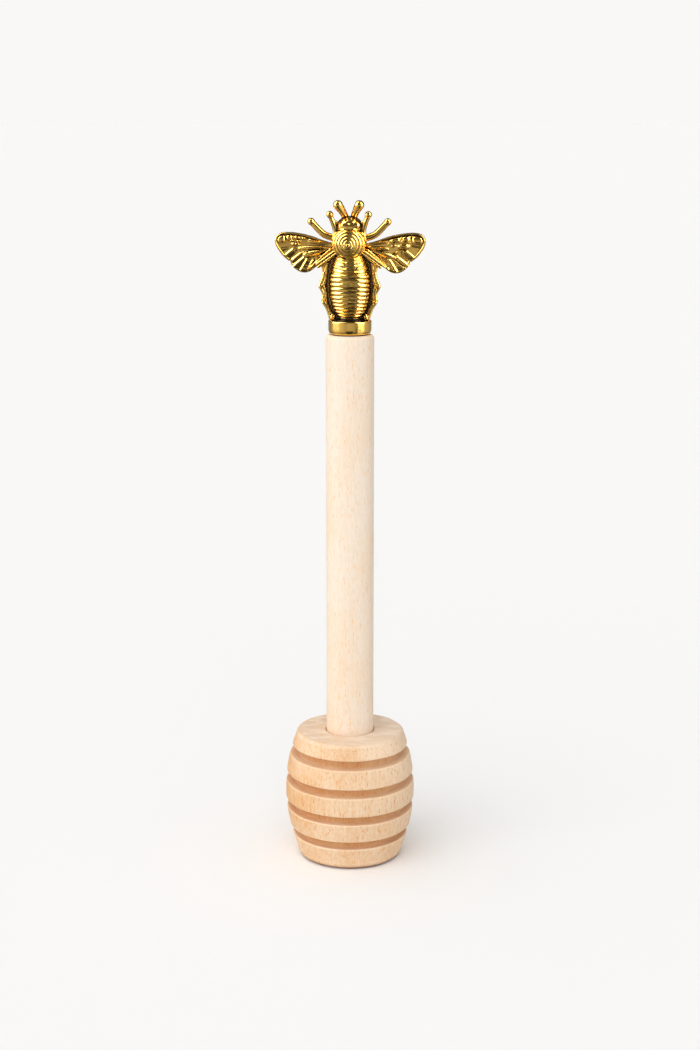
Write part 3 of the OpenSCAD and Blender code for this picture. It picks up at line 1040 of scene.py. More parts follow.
@dataclass
class Handle:
    """The straight dowel, with a rounded top edge and a drilled hole for the stud."""

    turns: int = 288
    round_r: float = 1.0
    chamfer: float = 0.6
    hole_r: float = 2.05
    hole_depth: float = 16.0
    ring_pitch: float = 1.6
    joint_shade: float = 0.3
    joint_shade_h: float = 0.7
    sanded: Wave = Wave(0.02, 4.0, 11)

    def build(self) -> bpy.types.Object:
        """Builds and dresses the handle."""
        r, bottom, top = turned_size("handle")
        heights = np.arange(bottom + self.chamfer, top - self.round_r, self.ring_pitch)
        outline = [(0.0, bottom), (r / 2.0, bottom), (r - self.chamfer, bottom)]
        outline += [(r, z) for z in heights]
        outline += arc((r - self.round_r, top - self.round_r), self.round_r, 0, 90, 10)
        crown = len(outline)
        outline += [(r / 1.5, top), (self.hole_r + 0.2, top), (self.hole_r, top - 0.2)]
        outline += [(self.hole_r, top - self.hole_depth), (0.0, top - self.hole_depth)]
        lathe = Lathe(outline, self.turns, self.wobble)
        points, faces = lathe.mesh()
        end = [1.0 if i >= crown - 3 or i < 3 else 0.0 for i in range(len(outline))]
        joint_z = turned_size("dipper_head")[2]
        marks = {
            "end_grain": lathe.along(end),
            "cut": lathe.along([0.0] * len(outline)),
            # A painted highlight on the rounded top edge
            "edge": lathe.along([0.4 if crown - 9 <= i < crown else 0.0 for i in range(len(outline))]),
            # Painted shade: the handle darkens just above its joint with the head
            "recess": self.joint_shade * (1.0 - smooth_step(joint_z, joint_z + self.joint_shade_h, points[:, 2])),
            "foot": np.zeros(len(points)),
        }
        piece = new_piece("handle_dowel", points, faces, HANDLE_BEECH.material(), marks)
        join_to_part(piece, "handle_beech", "handle")
        return piece

    def wobble(self, points: Array, radius: Array) -> Array:
        """Gives a dowel's slight unevenness, along its length and round it."""
        out = outwards(points, radius)
        stretched = points * [1.0, 1.0, 0.12]
        outer = smooth_step(4.0, 5.0, radius)
        return out * (outer * (self.sanded.at(stretched) - self.sanded.height))[:, None]


@dataclass
class Stud:
    """The threaded stud inside, which keeps its CAD shape."""

    def build(self) -> bpy.types.Object:
        """Gives the stud its plated steel."""
        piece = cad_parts["finial_stud"]
        material = ZINC.material()
        for slot in piece.material_slots:
            slot.material = material
        LOG.info("%s: CAD mesh in zinc-plated steel", piece.name)
        return piece


@dataclass
class Collar:
    """The plain gilt ring under the bee, rounded at its foot and with a broken edge at its top."""

    turns: int = 320
    round_r: float = 0.85
    round_h: float = 1.5
    chamfer: float = 0.24
    # The bearing and the height over the collar's foot of two specks in the plating
    specks: tuple[Flat, ...] = ((23.5, 1.6), (33.5, 1.5))
    speck_r: float = 0.17
    bore_r: float = 2.05
    recess_from: float = 3.7
    recess_h: float = 0.06
    plated: Wave = Wave(0.012, 2.6, 21)
    plated_from: float = 4.5

    def build(self) -> bpy.types.Object:
        """Builds and dresses the collar."""
        r, bottom, top = turned_size("collar")
        outline = [(self.bore_r, bottom), (r - self.round_r - 1.0, bottom)]
        squat = self.round_r / self.round_h
        low_edge = arc((r - self.round_r, 0.0), self.round_r, -90, 0, 18)
        outline += [(x, bottom + self.round_h + z / squat) for x, z in low_edge]
        wall = np.linspace(bottom + self.round_h + 0.2, top - 2.4 * self.chamfer, 8)
        outline += [(r, z) for z in wall]
        outline += arc((r - self.chamfer, top - self.chamfer), self.chamfer, 0, 90, 7)
        outline += [(r - 0.7, top), (self.recess_from, top - self.recess_h)]
        outline += [(self.bore_r, top - self.recess_h)]
        lathe = Lathe([(0.0, bottom), *outline, outline[0], (0.0, bottom)], self.turns, self.wobble)
        points, faces = lathe.mesh()
        kept = [f for f in faces if len(f) == 4]
        inner = 1.0 - smooth_step(r - 1.2, r - 0.5, np.hypot(points[:, 0], points[:, 1]))
        ink = np.zeros(len(points))
        for bearing, height in self.specks:
            a = math.radians(bearing)
            speck = [r * math.sin(a), -r * math.cos(a), bottom + height]
            near = np.linalg.norm(points - speck, axis=1) / self.speck_r
            ink = np.maximum(ink, 1.0 - smooth_step(0.8, 1.3, near))
        # Painted shade: the top face under the bee and the lowest part of the foot, where the ring sits on
        # the wood, are marked as deep recess, which the gilt turns black
        under = 1.0 - smooth_step(0.1, 0.45, points[:, 2] - bottom)
        marks = {"recess": np.maximum(inner * (points[:, 2] > top - 0.3), 0.9 * under), "ink": ink}
        # The outline ends where it starts, so its last ring is the first one over again
        used = len(points) - 2 - self.turns
        wrapped = [[v if v < used else v - used for v in f] for f in kept]
        cut = {name: numbers[:used] for name, numbers in marks.items()}
        piece = new_piece("collar_ring", points[:used], wrapped, GILT.material(), cut)
        join_to_part(piece, "gilt_metal", "collar")
        return piece

    def wobble(self, points: Array, radius: Array) -> Array:
        """Gives a plated ring's slight waviness."""
        out = outwards(points, radius)
        return out * (self.plated.at(points) * (radius > self.plated_from))[:, None]


@dataclass
class Bee:
    """The bee's body: abdomen, thorax, head, antennae and legs, cast in one with a web behind."""

    cell: float = 0.13
    draft_cell: float = 0.26
    front_y: float = -5.0
    back_y: float = 2.8
    abdomen_r: float = 5.3
    abdomen_front: float = 4.4
    abdomen_mid_z: float = 8.5
    abdomen_top_z: float = 18.0
    turn: float = 0.065
    ridge_h: float = 0.27
    top_ridge_z: float = 11.0
    ridge_pitch: float = 1.15
    ridge_closing: float = 0.0175
    ridge_round: float = 0.62
    # How much of each ridge's groove is left across the worn middle, from the top ridge down
    middle_depths: tuple[float, ...] = (0.8, 0.15, 1.0, 0.8, 0.35, 0.35, 0.7, 1.0, 1.0, 1.0, 1.0)
    middle_x: float = 0.3
    middle_fade: Flat = (1.7, 2.7)
    scratch_h: float = 0.012
    waist_z: float = 11.6
    waist_depth: float = 0.34
    waist_half_h: float = 0.2
    tier_pitch: float = 0.74
    tier_h: float = 0.24
    tier_round: float = 1.4
    # How much plainer the fur's tiers are at their middle, where that is, and how it fades
    plain: float = 0.45
    plain_x: float = 0.4
    plain_fade: Flat = (0.6, 1.5)
    thorax_r: float = 4.2
    thorax_z: float = 18.5
    ring_z: float = 18.8
    ring_grooves: tuple[float, ...] = (0.3, 1.1, 1.85, 2.65, 3.5)
    ring_h: float = 0.26
    dome_power: float = 2.4
    dome_root: float = 1.5
    # The web's half width at some heights
    web_edge: tuple[Flat, ...] = (
        (0.0, 4.5), (1.5, 4.7), (3.1, 5.5), (4.7, 6.1), (6.5, 6.1), (8.2, 6.7),
        (10.2, 6.2), (11.6, 6.0), (13.3, 6.3), (15.4, 4.6), (16.6, 3.2),
    )
    web_half_t: float = 0.6
    face_z: float = 22.9
    head_radii: Point = (3.25, 3.15, 2.6)
    # The eyes, and the small bead between them, with their heights over face_z
    eyes: tuple[Point, ...] = ((-1.15, -2.3, 0.3), (1.75, -2.15, 0.35))
    eye_r: float = 1.05
    brow: Point = (0.1, -3.3, 0.75)
    brow_radii: Point = (0.18, 0.26, 0.18)
    # The little flower at the foot of each hind leg
    flower: Point = (4.15, -1.72, 0.98)
    petals: int = 5
    petal_radii: Point = (0.27, 0.4, 0.27)
    petal_reach: float = 0.48
    widest_x: float = 10.4
    feeler_h: float = 6.8
    base_z: float = field(init=False)

    def __post_init__(self) -> None:
        """Takes the height of the bee's feet from the collar."""
        self.base_z = turned_size("collar")[2]

    def front_relief(self, x: Array, z: Array) -> Array:
        """Works the ridges, the waist's groove and the fur's tiers into the abdomen's front.

        Args:
            x: How far to the right each point is.
            z: Its height.

        Returns:
            How far the surface is lifted there, negative in a groove.
        """
        squared = self.ridge_pitch**2 + 4.0 * self.ridge_closing * (z - self.top_ridge_z)
        count = (self.ridge_pitch - np.sqrt(np.maximum(squared, 0.01))) / (2.0 * self.ridge_closing)
        middle = 1.0 - smooth_step(*self.middle_fade, np.abs(x - self.middle_x))
        row = np.clip(np.floor(count), 0, len(self.middle_depths) - 1).astype(int)
        worn = np.array(self.middle_depths)[row]
        ridge = self.ridge_h * (np.abs(np.cos(math.pi * count)) ** self.ridge_round - 1.0)
        ridge *= 1.0 - middle * (1.0 - worn)
        ridge += self.scratch_h * middle * np.sin(19.0 * z + 2.0 * np.sin(1.3 * x))
        ridge *= 1.0 - smooth_step(self.waist_z - 0.3, self.waist_z, z)
        above = z - self.waist_z
        smile = (0.014 + 0.01 * np.clip(above, 0.0, 3.0)) * np.minimum(x**2, 18.0) * (1.0 - 0.06 * x)
        tier = (above - smile - 0.35 + 0.06 * np.sin(2.3 * x + 4.0 * above)) / self.tier_pitch
        crest = -np.abs(np.sin(math.pi * tier)) ** self.tier_round
        left = 1.0 - self.plain * (1.0 - smooth_step(*self.plain_fade, np.abs(x - self.plain_x)))
        fur = self.tier_h * crest * left * smooth_step(0.0, 0.25, above)
        return ridge + fur - self.waist_depth * np.exp(-((above / self.waist_half_h) ** 2))

    def abdomen(self, p: Array) -> Array:
        """Gives the distance to the ridged abdomen."""
        y = p[:, 1]
        x = p[:, 0] + self.turn * np.minimum(y, 0.0)
        z = p[:, 2] + 0.02 * x + 0.03 * np.sin(1.1 * x + 0.9 * p[:, 2])
        below, above = self.abdomen_mid_z + 0.5, self.abdomen_top_z - self.abdomen_mid_z
        reach = np.where(z < self.abdomen_mid_z, below, above)

        def share(at: Array, power: float) -> Array:
            """Gives the width at a height as a share of the widest."""
            away = np.minimum(np.abs((at - self.abdomen_mid_z) / reach), 1.0)
            return np.maximum(1.0 - away**power, 1e-3) ** (1.0 / power)

        relief = (1.0 - smooth_step(-0.6, 1.6, y)) * self.front_relief(x, z)
        half_w = self.abdomen_r * share(z, 2.3) + relief
        depth = np.where(y < 0.0, self.abdomen_front, self.back_y) * share(z, 3.5) + relief
        half_w, depth = np.maximum(half_w, 0.1), np.maximum(depth, 0.1)
        near = np.hypot(x / half_w, y / depth)
        slant = np.maximum(np.hypot(x / half_w**2, y / depth**2), 1e-4)
        lean = (share(z + 0.1, 2.3) - share(z - 0.1, 2.3)) * self.abdomen_r / 0.2
        round_d = near * (near - 1.0) / slant / np.sqrt(1.3 + lean**2)
        return smooth_max(round_d, -p[:, 2], 0.2)

    def thorax(self, p: Array) -> Array:
        """Gives the distance to the thorax: a ringed dome in front of a plain round back."""
        power, root, apex = self.dome_power, self.dome_root, -self.front_y - self.dome_root
        r = np.hypot(p[:, 0], p[:, 2] - self.ring_z)
        h = np.maximum(-p[:, 1] - root, 0.0)
        a, b = r / self.thorax_r, h / apex
        near = np.maximum((a**power + b**power) ** (1.0 / power), 1e-4)
        slope = near ** (1.0 - power) * np.hypot(
            a ** (power - 1.0) / self.thorax_r, b ** (power - 1.0) / apex
        )
        dome = (near - 1.0) / np.maximum(slope, 0.05)
        edges = (-0.5, *self.ring_grooves, 4.4)
        phase = np.interp(r, edges, range(-1, len(edges) - 1))
        ring = self.ring_h * (np.abs(np.sin(math.pi * phase)) ** 0.55 - 1.0)
        upper = smooth_step(1.2, 3.2, p[:, 2] - self.ring_z) * smooth_step(0.8, 2.4, np.abs(p[:, 0] + 0.2))
        ring *= (1.0 - 0.85 * upper) * smooth_step(0.2, 1.2, h)
        middle, half = (self.back_y - 1.0) / 2.0, (self.back_y + 1.0) / 2.0
        back = smooth_max(r - self.thorax_r + 0.3, np.abs(p[:, 1] - middle) - half, 0.9)
        front = smooth_max(dome - ring, p[:, 1] - 0.5, 0.3)
        return np.minimum(front, back)

    def web(self, p: Array) -> Array:
        """Gives the distance to the thin web behind the hind legs."""
        heights, widths = zip(*self.web_edge)
        half_h = heights[-1] / 2.0
        side = p[:, 0] - np.interp(p[:, 2], heights, widths)
        slab = np.abs(p[:, 1]) - self.web_half_t
        return smooth_max(smooth_max(side * 0.85, slab, 0.2), np.abs(p[:, 2] - half_h) - half_h, 0.1)

    def upper_limbs(self) -> list[Form]:
        """Gives the antennae, the forelegs with their links to the head, and the middle legs."""
        f, t = self.face_z, self.thorax_z
        feeler = [(1.05, -0.5, f + 1.9), (1.22, -1.1, f + 2.75), (1.72, -1.9, f + 3.8), (2.62, -2.8, f + 5.3)]
        foreleg = [(3.3, -0.8, t + 1.6), (3.45, -1.2, t + 3.6), (3.9, -1.5, t + 5.2), (4.7, -1.9, t + 7.25)]
        link = [(3.1, -1.5, f + 1.0), (3.6, -1.6, f + 1.3), (4.15, -1.6, f + 1.6)]
        middle = [(3.4, -1.0, t + 1.55), (5.4, -1.05, t + 2.1), (6.9, -1.1, t + 3.0), (9.25, -1.2, t + 5.5)]
        return [
            rod_form(feeler, [0.84, 0.84, 0.94, 1.18], 14, 0.08),
            rod_form(foreleg, [0.78, 0.66, 0.64, 0.62]),
            ball_form((4.72, -1.95, t + 7.35), (0.88, 0.88, 0.88)),
            rod_form(link, [0.4, 0.38, 0.42], 5, 0.1),
            rod_form(middle, [0.86, 0.85, 0.83, 0.78]),
            ball_form((9.37, -1.22, t + 5.62), (0.9, 0.9, 0.9)),
        ]

    def hind_legs(self) -> list[Form]:
        """Gives the two strands of each hind leg, their knots and the bars above them."""
        outer = [
            (6.0, -0.9, 14.0), (6.45, -0.95, 13.2), (6.27, -1.0, 11.6), (6.6, -1.0, 10.2),
            (7.17, -1.0, 8.6), (6.98, -1.0, 7.9), (6.43, -1.0, 6.57), (6.48, -1.0, 4.79),
            (5.67, -1.1, 3.15), (4.98, -1.2, 1.53), (4.7, -1.2, 0.42),
        ]
        inner = [
            (5.55, -0.9, 13.9), (5.68, -0.9, 13.1), (5.8, -0.95, 11.5), (6.0, -0.95, 9.8), (6.4, -1.0, 8.3),
            (5.85, -0.95, 6.7), (5.9, -0.95, 5.3), (5.8, -1.0, 4.2), (4.95, -1.1, 2.6), (4.35, -1.2, 1.3),
        ]
        knots = (
            ((6.75, -1.1, 8.25), (0.72, 0.5, 0.42)),
            ((6.2, -1.1, 4.45), (0.6, 0.5, 0.4)),
            ((6.1, -1.1, 11.5), (0.55, 0.42, 0.3)),
        )
        forms = [
            rod_form(outer, [0.44, 0.44, 0.38, 0.4, 0.5, 0.46, 0.36, 0.44, 0.36, 0.4, 0.4], 4, 0.1),
            rod_form(inner, [0.36, 0.36, 0.3, 0.32, 0.4, 0.3, 0.3, 0.36, 0.28, 0.3], 4, 0.1),
            *(ball_form(centre, radii, 0.15) for centre, radii in knots),
        ]
        for offset in (-0.3, 0.3):
            start = (3.3 + 0.6 * offset, -1.45, self.thorax_z - 1.75 + offset)
            knee = (7.75 + 0.6 * offset, -1.45, 13.45 + offset)
            forms.append(rod_form([start, knee], [0.34, 0.37], 1, 0.06, 0.005))
        return forms

    def flowers(self) -> list[Form]:
        """Gives the little flower at the foot of each hind leg."""
        x, y, z = self.flower
        forms = [ball_form((x, y - 0.03, z), (0.5, 0.5, 0.5), 0.08)]
        for petal in range(self.petals):
            angle = 2.0 * math.pi * (petal + 0.25) / self.petals
            centre = (x + self.petal_reach * math.cos(angle), y, z + self.petal_reach * math.sin(angle))
            forms.append(ball_form(centre, self.petal_radii, 0.04))
        return forms

    def face(self) -> list[Form]:
        """Gives the bee's head, its eyes and the small bead between them."""
        balls = [((0.0, -0.4, 0.0), self.head_radii, 0.2)]
        balls += [(eye, (self.eye_r, self.eye_r, self.eye_r), 0.1) for eye in self.eyes]
        balls += [(self.brow, self.brow_radii, 0.1)]
        return [ball_form((x, y, self.face_z + z), radii, blend, False) for (x, y, z), radii, blend in balls]

    def casting(self) -> Casting:
        """Joins the forms of the body."""
        t, r, w = self.thorax_z, self.thorax_r, self.abdomen_r + 0.4
        return Casting(
            [
                Form(self.web, (-7.0, -0.7, 0.0), (7.0, 0.7, 16.8), 0.2, True),
                Form(self.abdomen, (-w, self.front_y, 0.0), (w, self.back_y, self.abdomen_top_z), 0.12),
                ball_form((0.0, 0.0, 0.0), (3.9, 3.7, 0.75), 0.15, False),
                *self.face(),
                Form(self.thorax, (-r, self.front_y, t - r), (r, self.back_y, t + r), 0.12),
                *self.upper_limbs(),
                *self.hind_legs(),
                *self.flowers(),
            ]
        )

    def build(self) -> bpy.types.Object:
        """Builds and dresses the bee's body."""
        casting = self.casting()
        low = (-self.widest_x, self.front_y - 0.1, 0.0)
        high = (self.widest_x, self.back_y + 0.1, self.face_z + self.feeler_h)
        points, faces, normals = casting.skin(low, high, self.cell)
        closed = casting.recess(points, normals)
        others = Casting([f for f in casting.forms if f.distance != self.web]).distance(points)
        ink = smooth_step(0.0, 0.3, others - self.web(folded(points))) * (points[:, 1] < 0.2)
        # Painted shadow: the bottom of the bee, where it sits on the collar, is blackened like the web
        under = (1.0 - smooth_step(0.45, 0.95, points[:, 2])) * (np.abs(points[:, 0]) < 3.5)
        ink = np.maximum(ink, under * (points[:, 1] < 0.5))
        behind = smooth_step(-0.5, 1.0, points[:, 1])
        marks = {"recess": 1.15 * closed * (1.0 - 0.6 * behind), "ink": ink}
        points = np.clip(points, (-np.inf, self.front_y, 0.0), (np.inf, self.back_y, np.inf))
        lifted = points + [0.0, 0.0, self.base_z]
        piece = new_piece("bee_cast", lifted, faces.tolist(), GILT.material(), marks, normals)
        join_to_part(piece, "gilt_metal", "bee_body")
        return piece


class Side(Enum):
    """A side of the bee, as its viewer sees it."""

    LEFT = -1
    RIGHT = 1


@dataclass(frozen=True)
class Pillow:
    """One rounded cell of a wing, along a line from start to end."""

    start: Flat
    end: Flat
    half_width: float
    rise: float = 0.34
    squareness: float = 2.2
    taper: float = 0.0


class Cut(Enum):
    """How a line is worked into a wing."""

    GROOVE = "groove"
    RIB = "rib"
    STEP = "step"
    CORD = "cord"


@dataclass(frozen=True)
class Line:
    """One line on a wing; a step drops on its left side, as seen from its first point."""

    cut: Cut
    points: tuple[Flat, ...]
    width: float = 0.16
    height: float = 0.2


@dataclass(frozen=True)
class Relief:
    """The cells and lines of one side's wings, and the scalloped edge of their inner part."""

    cells: tuple[Pillow, ...]
    lines: tuple[Line, ...]
    scallop: tuple[Flat, ...]


LEFT_RELIEF = Relief(
    cells=(
        Pillow((11.75, 1.2), (13.95, 1.25), 1.0, 0.3, 3.2),
        Pillow((9.85, 1.6), (11.55, 1.65), 0.78, 0.4, 2.6),
        Pillow((7.9, 1.6), (9.6, 1.8), 0.62, 0.4, 2.4),
        Pillow((6.6, 1.45), (7.75, 1.65), 0.5, 0.38),
        Pillow((9.5, 0.9), (10.7, 0.95), 0.3, 0.4),
        Pillow((7.6, 0.78), (9.1, 0.85), 0.32, 0.4),
        Pillow((0.6, 0.15), (6.45, 0.95), 0.6, 0.44, 2.4, 0.35),
        Pillow((8.75, 0.08), (10.25, 0.12), 0.5, 0.42, 2.6),
        Pillow((7.75, 0.0), (8.7, 0.0), 0.34, 0.38),
        Pillow((0.6, -0.5), (8.25, -0.95), 0.5, 0.44, 2.4, 0.3),
        Pillow((1.4, -1.25), (7.3, -2.65), 0.72, 0.5, 2.2, 0.4),
        Pillow((5.9, -1.75), (6.9, -2.45), 0.22, 0.56),
    ),
    lines=(
        Line(Cut.GROOVE, ((10.7, 0.5), (14.0, -0.1)), 0.15, 0.22),
        Line(Cut.STEP, ((10.3, -0.4), (13.4, -0.95)), 0.24, 0.22),
        Line(Cut.STEP, ((9.6, -0.8), (12.1, -2.75)), 0.3, 0.32),
        Line(Cut.STEP, ((7.8, -1.8), (10.5, -4.0)), 0.28, 0.32),
        Line(Cut.STEP, ((7.3, -3.1), (9.9, -5.3)), 0.25, 0.3),
        Line(Cut.STEP, ((6.4, -3.5), (8.0, -6.1)), 0.14, 0.18),
        Line(Cut.STEP, ((4.9, -3.7), (6.3, -5.9)), 0.13, 0.17),
        Line(Cut.STEP, ((4.0, -3.5), (5.2, -5.3)), 0.12, 0.14),
        Line(Cut.STEP, ((3.1, -3.2), (4.1, -4.35)), 0.12, 0.14),
        Line(Cut.CORD, ((0.5, -1.1), (3.4, -3.6), (5.8, -5.9)), 0.24, 0.3),
    ),
    scallop=(
        (10.7, 0.4), (10.4, -0.42), (9.8, -0.54), (8.5, -0.9), (8.2, -1.65), (7.4, -1.85), (6.8, -3.0),
        (5.6, -3.35), (4.3, -3.2), (2.7, -2.25), (0.45, -0.85),
    ),
)
RIGHT_RELIEF = Relief(
    cells=(
        Pillow((0.3, 0.15), (5.3, 0.9), 0.48, 0.46, 2.4, 0.2),
        Pillow((0.15, -0.42), (1.0, -0.45), 0.36, 0.5),
        Pillow((5.5, 0.8), (8.2, 1.35), 0.68, 0.4, 2.4),
        Pillow((8.5, 1.3), (10.5, 1.45), 0.76, 0.4, 2.8),
        Pillow((11.0, 1.2), (13.8, 1.1), 1.0, 0.34, 3.2),
        Pillow((0.6, -0.55), (5.6, -1.05), 0.5, 0.46, 2.4, 0.2),
        Pillow((5.7, -0.3), (7.3, -0.1), 0.34, 0.32),
        Pillow((7.3, -0.35), (10.45, -0.3), 0.7, 0.46, 2.4),
        Pillow((1.6, -1.5), (6.6, -2.95), 0.66, 0.5, 2.2, 0.1),
        Pillow((6.7, -1.73), (7.45, -1.73), 0.36, 0.5),
    ),
    lines=(
        Line(Cut.GROOVE, ((10.7, 0.2), (13.6, -0.36)), 0.16, 0.26),
        Line(Cut.RIB, ((5.1, 0.05), (6.0, 1.3)), 0.14, 0.16),
        Line(Cut.RIB, ((7.95, 0.7), (8.45, 1.85)), 0.12, 0.14),
        Line(Cut.RIB, ((8.5, 0.75), (9.0, 1.8)), 0.12, 0.14),
        Line(Cut.RIB, ((10.1, 0.6), (10.6, 2.0)), 0.12, 0.15),
        Line(Cut.RIB, ((10.75, 0.8), (11.2, 1.95)), 0.12, 0.15),
        Line(Cut.STEP, ((9.7, -1.3), (11.75, -3.0)), 0.28, 0.32),
        Line(Cut.RIB, ((8.2, -2.1), (10.5, -4.1)), 0.13, 0.12),
        Line(Cut.STEP, ((7.6, -2.9), (10.2, -4.8)), 0.26, 0.32),
        Line(Cut.GROOVE, ((6.6, -3.4), (9.3, -5.45)), 0.18, 0.2),
        Line(Cut.STEP, ((5.6, -3.4), (7.35, -6.3)), 0.16, 0.22),
        Line(Cut.RIB, ((5.2, -3.5), (6.7, -6.2)), 0.13, 0.1),
        Line(Cut.STEP, ((3.6, -3.8), (5.35, -5.75)), 0.14, 0.2),
        Line(Cut.CORD, ((0.1, -1.2), (2.2, -3.0), (4.3, -5.4)), 0.27, 0.34),
    ),
    scallop=(
        (10.75, 0.5), (10.55, -0.76), (9.55, -1.25), (7.85, -1.35), (7.4, -2.1), (6.6, -3.05),
        (5.4, -3.15), (4.3, -2.7), (2.9, -2.25), (1.75, -1.45), (0.45, -0.85),
    ),
)


@dataclass
class Chart:
    """Numbers on a flat grid that can be read anywhere."""

    low: Flat
    step: float
    values: Array

    def at(self, u: Array, v: Array) -> Array:
        """Reads the chart between its grid points.

        Args:
            u: Each place along the grid's first axis.
            v: Each place along its second.

        Returns:
            One number for each place.
        """
        a = np.clip((u - self.low[0]) / self.step, 0.0, self.values.shape[0] - 1.001)
        b = np.clip((v - self.low[1]) / self.step, 0.0, self.values.shape[1] - 1.001)
        i, j = a.astype(int), b.astype(int)
        s, t = a - i, b - j
        top = self.values[i, j] * (1.0 - s) + self.values[i + 1, j] * s
        return top * (1.0 - t) + (self.values[i, j + 1] * (1.0 - s) + self.values[i + 1, j + 1] * s) * t


@dataclass
class Wing:
    """A fore wing and a hind wing in one plate, its cells and rays in relief on the front.

    Points on the plate are (u, v): u outwards from the thorax's edge, and v up from its middle.
    """

    side: Side
    relief: Relief
    cell: float = 0.085
    draft_cell: float = 0.17
    root: Flat = (4.2, 18.5)
    back_y: float = 0.72
    field_h: float = 0.3
    inner_h: float = 0.1
    bead_w: float = 0.5
    root_h: float = 0.5
    root_l: float = 4.5
    crown_h: float = 0.2
    tip_drop: float = 0.3
    wing_l: float = 14.3
    bow: float = 0.011
    scallop_depth: float = 0.16
    scallop_w: float = 0.14
    # How deep the margin and how high the bead on it are at the trailing edge, and what the leading
    # edge adds to each
    margin_depth: Flat = (0.04, 0.18)
    bead_h: Flat = (0.26, 0.2)
    chart_step: float = 0.04
    chart_low: Flat = (-2.0, -7.6)
    chart_high: Flat = (15.0, 3.7)
    # The box round the plate, from its root
    box_low: Point = (-1.6, -1.6, -7.1)
    box_high: Point = (14.5, 0.9, 3.2)
    # The outline's point where the fore wing ends and the hind wing starts
    notch: int = 14
    outline: tuple[Flat, ...] = (
        (-1.5, 0.3), (0, 0.35), (2.4, 1), (4.9, 1.9), (7, 2.45), (9, 2.8), (10.8, 2.95), (12.5, 2.85),
        (13.7, 2.25), (14.3, 1.1), (14.1, -0.4), (13.2, -1.85), (12.2, -3.05), (10.9, -4.1), (10.6, -4),
        (10.3, -4.9), (9.7, -5.7), (8.5, -6.6), (7.1, -6.95), (5.7, -6.65), (4.4, -5.7), (3.2, -4.75),
        (1.6, -3.2), (0, -1.75), (-1.5, -1.6),
    )
    inner_corners: tuple[Flat, ...] = ((-1.0, 0.0), (0.5, 0.5), (6.0, 2.6), (11.0, 3.4))

    def chart(self) -> tuple[Chart, Chart]:
        """Draws the plate.

        Returns:
            A chart of the distance inside the outline, and one of the front's height.
        """
        step = self.chart_step * 1.0
        low, high = self.chart_low, self.chart_high
        columns, rows = np.arange(low[0], high[0], step), np.arange(low[1], high[1], step)
        grid = np.stack(np.meshgrid(columns, rows, indexing="ij"), -1)
        p = grid.reshape(-1, 2)
        fore = spline(self.outline[1 : self.notch], 4)
        hind = spline(self.outline[self.notch : -1], 4)
        inside = -outline_distance(p, np.vstack([self.outline[:1], fore, hind, self.outline[-1:]]))
        height = self._height(p, inside)
        shape = grid.shape[:2]
        return Chart(low, step, inside.reshape(shape)), Chart(low, step, height.reshape(shape))

    def _pillow(self, p: Array, pillow: Pillow) -> Array:
        """Shapes one cell, which falls away below the field outside its edge.

        Args:
            p: Points on the plate.
            pillow: The cell.

        Returns:
            Its height over the field at each point.
        """
        a, b = np.array(pillow.start), np.array(pillow.end)
        run = b - a
        size = np.hypot(*run)
        along = ((p - a) @ run) / size**2 * 2.0 - 1.0
        width = pillow.half_width * (1.0 + pillow.taper * np.clip(along, -1.0, 1.0))
        across = ((p - a) @ np.array([-run[1], run[0]])) / size / width
        s = pillow.squareness
        dome = np.maximum(1.0 - np.abs(along) ** s - np.abs(across) ** s, -1.0)
        return np.where(dome > 0.0, 1.35 * pillow.rise * np.abs(dome) ** 0.9, 0.8 * dome) - 0.02

    def _line(self, p: Array, line: Line) -> Array:
        """Works one line into the plate.

        Args:
            p: Points on the plate.
            line: The line.

        Returns:
            The height that it adds at each point.
        """
        path = spline(line.points, 4) if len(line.points) > 2 else np.array(line.points, float)
        away, side, along = path_distance(p, path)
        if line.cut is Cut.GROOVE:
            lip = 0.3 * np.exp(-(((away - 2.0 * line.width) / line.width) ** 2))
            return line.height * (lip - np.exp(-((away / line.width) ** 2)))
        if line.cut is Cut.RIB:
            return line.height * np.exp(-((away / line.width) ** 2))
        if line.cut is Cut.CORD:
            beads = 0.97 + 0.03 * np.sin(2.0 * math.pi * along / BEAD_PITCH)
            round_top = np.sqrt(np.clip(1.0 - (away / (1.3 * line.width)) ** 2, 0.0, 1.0))
            trough = 0.5 * np.exp(-(((away - 1.9 * line.width) / (0.7 * line.width)) ** 2))
            return line.height * (beads * round_top - trough)
        beyond = np.maximum(away - np.abs(side), 0.0)
        fade = np.exp(-np.abs(side) / 2.0 - (beyond / 0.16) ** 2)
        line_cut = 0.25 * np.exp(-(((side - 1.6 * line.width) / (0.6 * line.width)) ** 2))
        return -line.height * (0.9 * np.tanh(side / line.width) + line_cut) * fade

